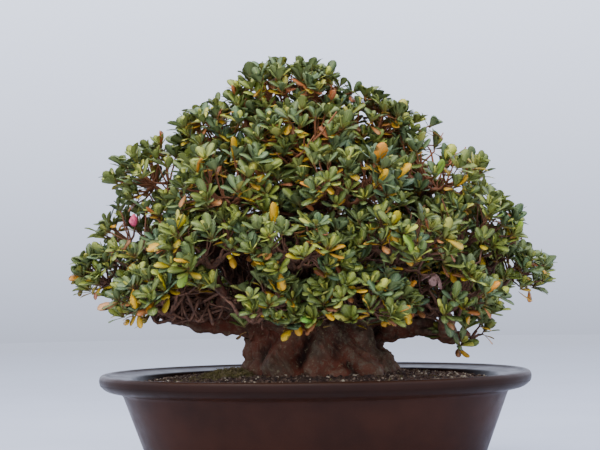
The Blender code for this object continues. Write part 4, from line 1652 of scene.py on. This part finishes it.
    def find_accents(self) -> None:
        """Gives each accent leaf to the foremost shoot that can carry it."""
        for accent in ACCENTS:
            eye, ray = self.studio.ray(accent.across_px, accent.down_px)
            length = accent.length_mm * MM
            best = None
            for shoot in self.shoots:
                off = shoot.hub - eye
                along = off.dot(ray)
                miss = (off - ray * along).length
                score = along + self.accent_miss_cost * abs(miss - self.accent_reach * length)
                if miss < self.accent_furthest * length and (best is None or score < best[0]):
                    best = (score, along, shoot)
            if best is None:
                LOG.info("no shoot carries the accent at %s, %s", accent.across_px, accent.down_px)
                continue
            _, along, shoot = best
            base = shoot.hub - shoot.axis * self.accent_root
            grow = eye + ray * (along - self.accent_front) - base
            grow -= ray * grow.dot(ray) * 0.5
            leaf = (base, grow, Vector((0.5, 0, 1.0)) - ray * 0.7, length, 1.0, linear(accent.colour))
            self.accents.setdefault(shoot.spray, []).append(leaf)

    def leaf_colour(self, species: Species, draw: random.Random, main: Optional[tuple] = None) -> tuple:
        """Draws one leaf's colour.

        Args:
            species: the kind of leaf.
            draw: the source of random numbers.
            main: the linear colour that its shoot leans to, if any.

        Returns:
            Linear RGB.
        """
        first = main or linear(draw.choice(PALETTE[species]))
        second = linear(draw.choice(PALETTE[species]))
        share = draw.uniform(*self.colour_blend)
        gain = draw.uniform(*self.colour_gain)
        return tuple(gain * (a * (1 - share) + b * share) for a, b in zip(first[:3], second[:3]))

    def heading(self, shoot: Shoot, angle: float, rise_deg: float) -> tuple:
        """A direction round a shoot's axis.

        Args:
            shoot: the shoot.
            angle: the turn round the axis in radians.
            rise_deg: the rise from its cross plane towards the axis.

        Returns:
            The direction, and where the upper face of a leaf looks that grows in it.
        """
        rise = math.radians(rise_deg)
        flat = Vector((math.cos(angle), math.sin(angle), 0))
        turn = shoot.axis.to_track_quat("Z", "Y")
        along = turn @ (flat * math.cos(rise) + UP * math.sin(rise))
        return along, turn @ (UP * math.cos(rise) - flat * math.sin(rise))

    def add_whorl(self, shoot: Shoot, blades: Blades) -> None:
        """Adds a shoot's whorl of leaves, with the small pale ones in its middle.

        Args:
            shoot: the shoot.
            blades: the blades to add to.
        """
        draw = blades.draw
        count = draw.randint(*self.whorl)
        spin = draw.uniform(0, math.tau)
        shade = self.shaded_gain if shoot.hub.z < self.shaded_below else 1.0
        main = tuple(shade * v for v in linear(draw.choice(PALETTE[Species.MATURE])))
        for k in range(count + self.young_leaves):
            inner = k >= count
            angle = spin + k * GOLDEN_TURN + draw.uniform(-self.whorl_shift, self.whorl_shift)
            rises, lengths = self.outer_rise, self.outer_length
            if inner:
                rises, lengths = self.inner_rise, self.inner_length
            along, face = self.heading(shoot, angle, draw.uniform(*rises))
            along.z -= 0 if inner else self.drooping
            length = self.leaf_length * shoot.size * draw.uniform(*lengths)
            base = shoot.hub - shoot.axis * (0 if inner else draw.uniform(*self.below_tip_mm) * MM)
            young = (inner and draw.random() < self.young_inside) or draw.random() < self.young_outside
            species = Species.YOUNG if young else Species.MATURE
            colour = self.leaf_colour(species, draw, None if young else main)
            blades.add(base, along, face, length, draw.uniform(*self.width), colour)

    def add_old(self, shoot: Shoot, blades: Blades) -> None:
        """Adds the old leaves that hang below a shoot's whorl.

        Args:
            shoot: the shoot.
            blades: the blades to add to.
        """
        draw = blades.draw
        ageing = self.ageing_high if shoot.hub.z > self.rust_height else self.ageing_low
        if draw.random() >= ageing.chance:
            return
        for _ in range(draw.choice(ageing.numbers)):
            angle = draw.uniform(0, math.tau)
            along = self.heading(shoot, angle, draw.uniform(*self.old_rise))[0]
            base = shoot.hub - shoot.axis * draw.uniform(*self.old_below_tip_mm) * MM
            length = self.leaf_length * draw.uniform(*self.old_length)
            species = Species.SPENT if draw.random() < ageing.rusty else Species.OLD
            colour = self.leaf_colour(species, draw)
            face = shoot.axis.to_track_quat("Z", "Y") @ UP
            blades.add(base, along, face, length, draw.uniform(*self.old_width), colour)

    def build(self, material: Material) -> None:
        """Builds the leaves of every spray, each spray as one piece.

        Args:
            material: the leaf.
        """
        tree = blade_tree()
        shapes = [shape.build(f"leaf_{i}") for i, shape in enumerate(LEAF_SHAPES)]
        with shape_library("leaf_shape", shapes) as library:
            for number, spray in enumerate(SPRAYS):
                blades = Blades(random.Random(SEED * 100 + number))
                for shoot in self.shoots:
                    if shoot.spray == spray.name:
                        self.add_whorl(shoot, blades)
                        self.add_old(shoot, blades)
                for leaf in self.accents.get(spray.name, ()):
                    blades.add(*leaf)
                inputs = {"Shapes": library, "Material": material}
                piece = grow_with(blades.cloud(f"points_{spray.name}"), tree, inputs, f"leaves_{spray.name}")
                place_piece(piece, "leaf", f"spray_{spray.name}")


@dataclass
class Twigs:
    """The thin wood: forked twigs to every shoot, bare inner twigs, and coiled old branches."""

    crown: Crown
    draw: random.Random = field(default_factory=lambda: random.Random(SEED + 5))
    sides: int = 4
    lowest_start: float = 176 * MM
    start_count: int = 4000
    forks: int = 7
    fork_radii: tuple = (2.6 * MM, 1.7 * MM)
    shoot_radii: tuple = (1.4 * MM, 0.8 * MM)
    root_drop: float = 0.42
    fork_share: float = 0.55
    fork_drop: float = 7 * MM
    fork_sag: float = 4 * MM
    shoot_knee: float = 8 * MM
    fork_wobble: float = 2.0 * MM
    shoot_wobble: float = 1.3 * MM
    inner_count: int = 420
    inner_length_mm: tuple = (28, 72)
    inner_bend: float = 12 * MM
    inner_radii: tuple = (2.1 * MM, 1.5 * MM)
    inner_tip: float = 0.8 * MM
    inner_wobble: float = 3 * MM
    outermost: float = 0.97
    lowest_end: float = 172 * MM
    coils: tuple = (((-143, -72, 198), (58, 40, 21), 11), ((118, -60, 192), (46, 40, 14), 5))
    coil_near: float = 1.15
    coil_start: tuple = (-0.8, 0.4)
    coil_step: tuple = (-0.35, 0.6)
    coil_rise: tuple = (0.35, 1)
    coil_stops: int = 5
    coil_samples: int = 6
    coil_start_mm: tuple = (1.7, 3.0)
    coil_end_mm: tuple = (1.2, 2.0)
    lines: list = field(default_factory=list)

    def crook(self, start: Vector, knee: Vector, end: Vector, wobble: float, steps: int = 6) -> list:
        """A bent line from one place to another, with small random crooks.

        Args:
            start: where it starts.
            knee: the place that it bends towards.
            end: where it ends.
            wobble: the size of the crooks in metres.
            steps: its number of straight runs.

        Returns:
            Its points.
        """
        points = []
        for t in [i / steps for i in range(steps + 1)]:
            points.append(bend(start, knee, end, t) + drawn(self.draw) * wobble * math.sin(math.pi * t))
        return points

    def add_forks(self) -> None:
        """Adds the twigs that carry the shoots, by way of forks."""
        for spray in SPRAYS:
            groups = {}
            for shoot in self.crown.shoots:
                if shoot.spray == spray.name:
                    off = shoot.hub - spray.middle
                    turn = math.atan2(off.y, off.x) / math.tau + 0.5
                    groups.setdefault(int(turn * self.forks) % self.forks, []).append(shoot)
            root = spray.middle - UP * (spray.half.z * self.root_drop)
            for members in groups.values():
                centre = sum((s.hub for s in members), Vector()) / len(members)
                fork = root.lerp(centre, self.fork_share)
                fork.z = min(fork.z, centre.z - self.fork_drop)
                knee = root.lerp(fork, 0.5) - UP * self.fork_sag
                self.lines.append((self.crook(root, knee, fork, self.fork_wobble), *self.fork_radii))
                for shoot in members:
                    knee = fork.lerp(shoot.hub, 0.6) - shoot.axis * self.shoot_knee
                    line = self.crook(fork, knee, shoot.hub, self.shoot_wobble, 4)
                    self.lines.append((line, *self.shoot_radii))

    def add_inner(self, starts: list) -> None:
        """Adds the bare twigs that fill the shaded inside of the crown.

        Args:
            starts: (place, normal) on the limbs.
        """
        draw = self.draw
        first, later = self.inner_radii
        for _ in range(self.inner_count):
            place, normal = draw.choice(starts)
            for fork in range(draw.choice((1, 2, 3))):
                spread = drawn(draw, (-1, 1), (-1, 1), (-0.5, 1))
                grow = normal * 0.5 + UP * 0.35 + spread * 0.75
                end = place + grow.normalized() * draw.uniform(*self.inner_length_mm) * MM
                if self.crown.depth_of(end) > self.outermost or end.z < self.lowest_end:
                    continue
                knee = place.lerp(end, 0.5) + spread.cross(grow) * self.inner_bend
                line = self.crook(place, knee, end, self.inner_wobble)
                self.lines.append((line, later if fork else first, self.inner_tip))
                if fork == 0:
                    place = line[3]

    def add_coils(self, starts: list, middle: tuple, half: tuple, count: int) -> None:
        """Adds old branches that coil round each other low in the crown.

        Args:
            starts: (place, normal) on the limbs.
            middle: the middle of their tangle in mm.
            half: its half sizes in mm.
            count: the number of branches.
        """
        draw = self.draw
        centre, reach = Vector(middle) * MM, Vector(half) * MM
        limit = self.coil_near
        near = [p for p, _ in starts if all(abs(a - b) < c * limit for a, b, c in zip(p, centre, reach))]
        for _ in range(count if len(near) > 3 else 0):
            stops = [draw.choice(near)]
            side = draw.choice((-1, 1))
            across = draw.uniform(*self.coil_start)
            for _ in range(self.coil_stops):
                side = -side
                across = clamp(across + draw.uniform(*self.coil_step), -1.0)
                deep, tall = draw.uniform(-1, 1), side * draw.uniform(*self.coil_rise)
                stops.append(centre + Vector((across * reach.x, deep * reach.y, tall * reach.z)))
            stops.append(draw.choice(near))
            line = []
            for k in range(len(stops) - 1):
                a, b = stops[max(k - 1, 0)], stops[k]
                c, d = stops[k + 1], stops[min(k + 2, len(stops) - 1)]
                for t in [i / self.coil_samples for i in range(self.coil_samples)]:
                    place = b + (c - a) * (0.5 * t) + (a * 2 - b * 5 + c * 4 - d) * (0.5 * t * t)
                    line.append(place + (b * 3 - a - c * 3 + d) * (0.5 * t ** 3))
            line.append(stops[-1])
            radii = (draw.uniform(*self.coil_start_mm) * MM, draw.uniform(*self.coil_end_mm) * MM)
            self.lines.append((line, *radii))

    def build(self, wood: Thing, material: Material) -> None:
        """Builds all the twigs as one piece.

        Args:
            wood: the trunk and limbs that the inner twigs grow from.
            material: the twig bark.
        """
        verts = wood.data.vertices
        starts = [(v.co.copy(), v.normal.copy()) for v in verts if v.co.z > self.lowest_start]
        starts = self.draw.sample(starts, min(len(starts), self.start_count))
        self.add_forks()
        self.add_inner(starts)
        for middle, half, count in self.coils:
            self.add_coils(starts, middle, half, count)
        curve = bpy.data.curves.new("twig_lines", "CURVE")
        curve.dimensions = "3D"
        for points, first, last in self.lines:
            spline = curve.splines.new("POLY")
            spline.points.add(len(points) - 1)
            for i, place in enumerate(points):
                radius = first + (last - first) * i / (len(points) - 1)
                configure(spline.points[i], {"co": (*place, 1), "radius": radius})
        inputs = {"Sides": self.sides, "Material": material}
        twigs = grow_with(linked("twig_lines", curve), tube_tree(), inputs, "azalea_twigs")
        place_piece(twigs, "bark")


# The soil and moss


@dataclass(frozen=True)
class Strewing:
    """How small shapes are strewn over a surface. The density counts them on a square metre."""

    density: float
    smallest: float
    largest: float
    lean: float
    seed: int

    def over(self, surface: Thing, shapes: Library, material: Material, name: str) -> Thing:
        """Strews shapes over a surface.

        Args:
            surface: the surface, which is removed.
            shapes: the shapes.
            material: their material.
            name: the result's name.

        Returns:
            The plain object.
        """
        inputs = {label.title(): value for label, value in vars(self).items()}
        return grow_with(surface, grain_tree(), {**inputs, "Shapes": shapes, "Material": material}, name)


@dataclass
class Ground:
    """The soil surface with its grains, and the moss on it."""

    soil_rim: float = 106.2 * MM
    grain_rim: float = 104.5 * MM
    moss_rim: float = 100 * MM
    edge_length: float = 5 * MM
    sharp_deg: float = 50
    lumps: tuple = ((12 * MM, 1.1 * MM), (4 * MM, 0.8 * MM))
    lump_sunk: float = 0.6 * MM
    grain_flat: float = 0.75
    moss_voxel: float = 1.6 * MM
    moss_spread: float = 26 * MM
    moss_nodes: tuple = ("moss_left", "moss_back")
    grains: Strewing = Strewing(34000.0, 1.8 * MM, 5.6 * MM, 1.0, 4)
    tufts: Strewing = Strewing(620000.0, 1.8 * MM, 4.8 * MM, 0.4, 9)
    creeping_density: float = 260000.0
    soil_top: Optional[Thing] = None
    grain_colours: tuple = (
        "#4a372d", "#5d473a", "#6f5848", "#8d7660", "#c2b092", "#3a2a22", "#54402f", "#65503f", "#42312a",
        "#7a6450", "#503d31", "#5c4334",
    )
    moss_colours: tuple = ("#7e6e44", "#6e6438", "#8e7e54", "#5c5030", "#8e7a5a")

    def pebble(self, name: str, colour: str, seed: int) -> Mesh:
        """One rough grain of unit size.

        Args:
            name: the mesh's name.
            colour: its colour.
            seed: shifts its roughness.

        Returns:
            The mesh, with the attribute grain_colour.
        """
        shape = bmesh.new()
        bmesh.ops.create_icosphere(shape, subdivisions=1, radius=0.5)
        for vert in shape.verts:
            push = 1 + 0.45 * noise.noise(vert.co * 2.1 + Vector((seed, 0, 0)))
            vert.co = Vector((vert.co.x, vert.co.y, vert.co.z * self.grain_flat)) * push
        return self.painted(from_bmesh(name, shape), colour)

    def tuft(self, name: str, colour: str, seed: int) -> Mesh:
        """One tuft of moss: a few leafy points that spread from one foot, one unit high.

        Args:
            name: the mesh's name.
            colour: its colour.
            seed: the seed of its leaning.

        Returns:
            The mesh, with the attribute grain_colour.
        """
        draw = random.Random(seed)
        shape = bmesh.new()
        for _ in range(3):
            tip = drawn(draw, (-0.45, 0.45), (-0.45, 0.45), (0.7, 1.1))
            ring = []
            for turn in turns(3):
                turn += draw.uniform(0, 1)
                ring.append(shape.verts.new((0.2 * math.cos(turn), 0.2 * math.sin(turn), -0.15)))
            top = shape.verts.new(tip)
            for i in range(3):
                shape.faces.new((ring[i], ring[(i + 1) % 3], top))
            shape.faces.new(tuple(reversed(ring)))
        bmesh.ops.recalc_face_normals(shape, faces=shape.faces)
        return self.painted(from_bmesh(name, shape), colour)

    def painted(self, mesh: Mesh, colour: str) -> Mesh:
        """Keeps a colour on a mesh's points, and returns the mesh."""
        keep(mesh, "grain_colour", "FLOAT_COLOR", np.tile(linear(colour), len(mesh.vertices)))
        return mesh

    def moss_share(self) -> Callable[[Vector], float]:
        """How thickly the moss creeps over the soil, out from its cushions.

        Returns:
            A function that gives a place's share.
        """
        middles = []
        for node in self.moss_nodes:
            low, high, middle = node_box(node)
            middles += [middle + Vector((side * (high.x - low.x) * 0.45, 0, 0)) for side in (-1, 0, 1)]

        def share(place: Vector) -> float:
            """The share at a place."""
            near = min((place - middle).length for middle in middles)
            return max(0.0, (0.5 + noise.noise(place / 0.010)) * (1.35 - near / self.moss_spread))

        return share

    def top_of(
        self, thing: Thing, lowest: float, name: str, share: Callable[[Vector], float] = lambda place: 1.0
    ) -> Thing:
        """Copies the upward faces of an object.

        Args:
            thing: the object.
            lowest: faces below this height are left out.
            name: the copy's name.
            share: how thickly a place is strewn.

        Returns:
            The copy, with the share kept in its attribute strew.
        """
        shape = bmesh.new()
        shape.from_mesh(thing.data)
        low = [f for f in shape.faces if f.normal.z < 0.25 or f.calc_center_median().z < lowest]
        bmesh.ops.delete(shape, geom=low, context="FACES")
        mesh = from_bmesh(name, shape)
        mesh.materials.clear()
        keep(mesh, "strew", "FLOAT", [share(vert.co) for vert in mesh.vertices])
        return linked(name, mesh)

    def build_soil(self, earth: Material, grain: Material) -> None:
        """Builds the soil with its rough top and the loose grains on it.

        Args:
            earth: the soil's material.
            grain: the grains' material.
        """
        soil = cad_copy("soil", "soil_bed")
        with editing(soil.data) as shape:
            bmesh.ops.triangulate(shape, faces=shape.faces)
            for _ in range(4):
                rims = ((min(v.co.z for v in edge.verts), edge) for edge in shape.edges)
                top = [e for low, e in rims if low > self.soil_rim and e.calc_length() > self.edge_length]
                if not top:
                    break
                bmesh.ops.subdivide_edges(shape, edges=top, cuts=1)
                bmesh.ops.triangulate(shape, faces=[f for f in shape.faces if len(f.verts) > 3])
            shape.normal_update()
            for vert in shape.verts:
                if vert.co.z > self.soil_rim and vert.normal.z > 0.5:
                    lump = sum(noise.noise(vert.co / size) * rise for size, rise in self.lumps)
                    vert.co.z += lump - self.lump_sunk
        dress(soil, earth, self.sharp_deg)
        grain_field = self.top_of(soil, self.grain_rim, "grain_field")
        self.soil_top = self.top_of(soil, self.grain_rim, "moss_field", self.moss_share())
        place_piece(soil, "soil", "soil")
        shapes = [self.pebble(f"grain_{i}", c, 7 * i) for i, c in enumerate(self.grain_colours)]
        with shape_library("grain_shape", shapes) as library:
            place_piece(self.grains.over(grain_field, library, grain, "soil_grains"), "soil")

    def build_moss(self, material: Material) -> None:
        """Builds each moss cushion as a rounded bed covered in tufts, and the moss that creeps from them.

        Args:
            material: the moss.
        """
        shapes = [self.tuft(f"tuft_{i}", c, i) for i, c in enumerate(self.moss_colours * 2)]
        with shape_library("tuft_shape", shapes) as library:
            for node in self.moss_nodes:
                bed = cad_copy(node, f"{node}_bed")
                remesh = {"mode": "VOXEL", "voxel_size": self.moss_voxel}
                modify(bed, remesh=remesh, smooth={"iterations": 4})
                low, high, _ = node_box(node)
                for vert in bed.data.vertices:
                    vert.co += vert.normal * (noise.noise(vert.co / 0.007) * 1.5 - 1.6) * MM
                    across = (vert.co.x - low.x) / (high.x - low.x)
                    share = 0.6 + 0.5 * across + 0.25 * noise.noise(vert.co / 0.013)
                    vert.co.z = low.z + (vert.co.z - low.z) * min(1.0, share)
                self.painted(bed.data, self.moss_colours[1])
                surface = self.top_of(bed, self.moss_rim, f"{node}_field")
                tufts = self.tufts.over(surface, library, material, f"{node}_tufts")
                dress(bed, material)
                place_piece(bed, "moss", node)
                place_piece(tufts, "moss")
            creeping = replace(self.tufts, density=self.creeping_density)
            place_piece(creeping.over(self.soil_top, library, material, "moss_creeping"), "moss")


# The blooms


@dataclass
class Bud:
    """The last flower bud: petals furled round each other into a spindle."""

    node: str = "flower_bud"
    girth: float = 4.6 * MM
    plumpness: float = 0.95
    sides: int = 30
    rows: int = 18

    def build(self, material: Material) -> None:
        """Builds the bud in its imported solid's place.

        Args:
            material: the petal.
        """
        low, high, middle = node_box(self.node)
        height = high.z - low.z
        points = []
        for t in [row / self.rows for row in range(1, self.rows)]:
            swell = math.sin(math.pi * t ** 0.85) ** 0.75
            for turn in turns(self.sides):
                furl = 1 + 0.13 * math.cos(3 * turn + 7 * t) + 0.05 * math.cos(7 * turn - 9 * t)
                radius = self.girth * swell * furl * self.plumpness
                x, y = radius * math.cos(turn), radius * math.sin(turn)
                points.append(middle + Vector((x, y, (t - 0.5) * height)))
        faces = ring_faces(self.rows - 1, self.sides)
        base, tip = len(points), len(points) + 1
        points += [middle - UP * (height / 2), middle + UP * (height / 2)]
        last = (self.rows - 2) * self.sides
        for i in range(self.sides):
            j = (i + 1) % self.sides
            faces += [(j, i, base), (last + i, last + j, tip)]
        bud = linked("azalea_bud", mesh_from("azalea_bud", points, faces))
        dress(bud, material)
        place_piece(bud, "bloom_pink", self.node)


@dataclass
class WitheredBloom:
    """The withered bloom: limp, crumpled petals that hang from one root."""

    node: str = "withered_bloom"
    petals: int = 6
    length: float = 23 * MM
    root_drop: float = 8 * MM
    tilt: float = 0.5
    crumples: tuple = ((4 * MM, 1.5 * MM), (1.8 * MM, 0.6 * MM))
    rounding: int = 2

    def build(self, material: Material) -> None:
        """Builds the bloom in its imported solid's place.

        Args:
            material: the petal.
        """
        draw = random.Random(SEED + 9)
        _, high, middle = node_box(self.node)
        root = Matrix.Translation((middle.x, middle.y, high.z - self.root_drop))
        shape = bmesh.new()
        for i, turn in enumerate(turns(self.petals)):
            turn += draw.uniform(-0.3, 0.3)
            form = BladeShape(fold=-0.3, curl=draw.uniform(1.2, 2.1), lift=-0.35, wave=0.06, width=0.72)
            petal = form.build(f"petal_{i}")
            place = root @ Matrix.Rotation(self.tilt, 4, "Y") @ Matrix.Rotation(turn, 4, "Z")
            petal.transform(place @ Matrix.Scale(self.length * draw.uniform(0.6, 1.0), 4))
            shape.from_mesh(petal)
            bpy.data.meshes.remove(petal)
        bloom = linked("azalea_withered", from_bmesh("azalea_withered", shape))
        modify(bloom, subsurf={"levels": self.rounding, "render_levels": self.rounding})
        for vert in bloom.data.vertices:
            crumple = sum(noise.noise(vert.co / size) * rise for size, rise in self.crumples)
            vert.co += vert.normal * crumple
        dress(bloom, material)
        place_piece(bloom, "bloom_faded", self.node)


def dress_screens(material: Material) -> None:
    """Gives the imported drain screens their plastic.

    Args:
        material: the plastic.
    """
    for node in ("drain_screen_left", "drain_screen_right"):
        materials = frame["nodes"][node].data.materials
        materials.clear()
        materials.append(material)


def main() -> None:
    """Builds every piece in order, and reports each."""
    logging.basicConfig(level=logging.INFO, format="%(message)s")
    studio = Studio()
    studio.build_camera()
    studio.build_lights()
    studio.build_floor()
    Pot().build(StonewareFinish().build())
    dress_screens(PlasticFinish().build())
    ground = Ground()
    ground.build_soil(EarthFinish().build(), GrainFinish("soil_grain").build())
    ground.build_moss(GrainFinish("moss").build())
    wood = Trunk().build(BarkFinish().build())
    crown = Crown(studio)
    crown.find_shoots(random.Random(SEED))
    crown.find_accents()
    LOG.info("shoots: %d", len(crown.shoots))
    crown.build(LeafFinish().build())
    Twigs(crown).build(wood, TwigFinish().build())
    Bud().build(PetalFinish("fresh_petal", "#e0607a", "#b83e5c").build())
    WitheredBloom().build(PetalFinish("withered_petal", "#98736a", "#614539").build())
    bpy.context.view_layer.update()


if __name__ == "__main__":
    main()
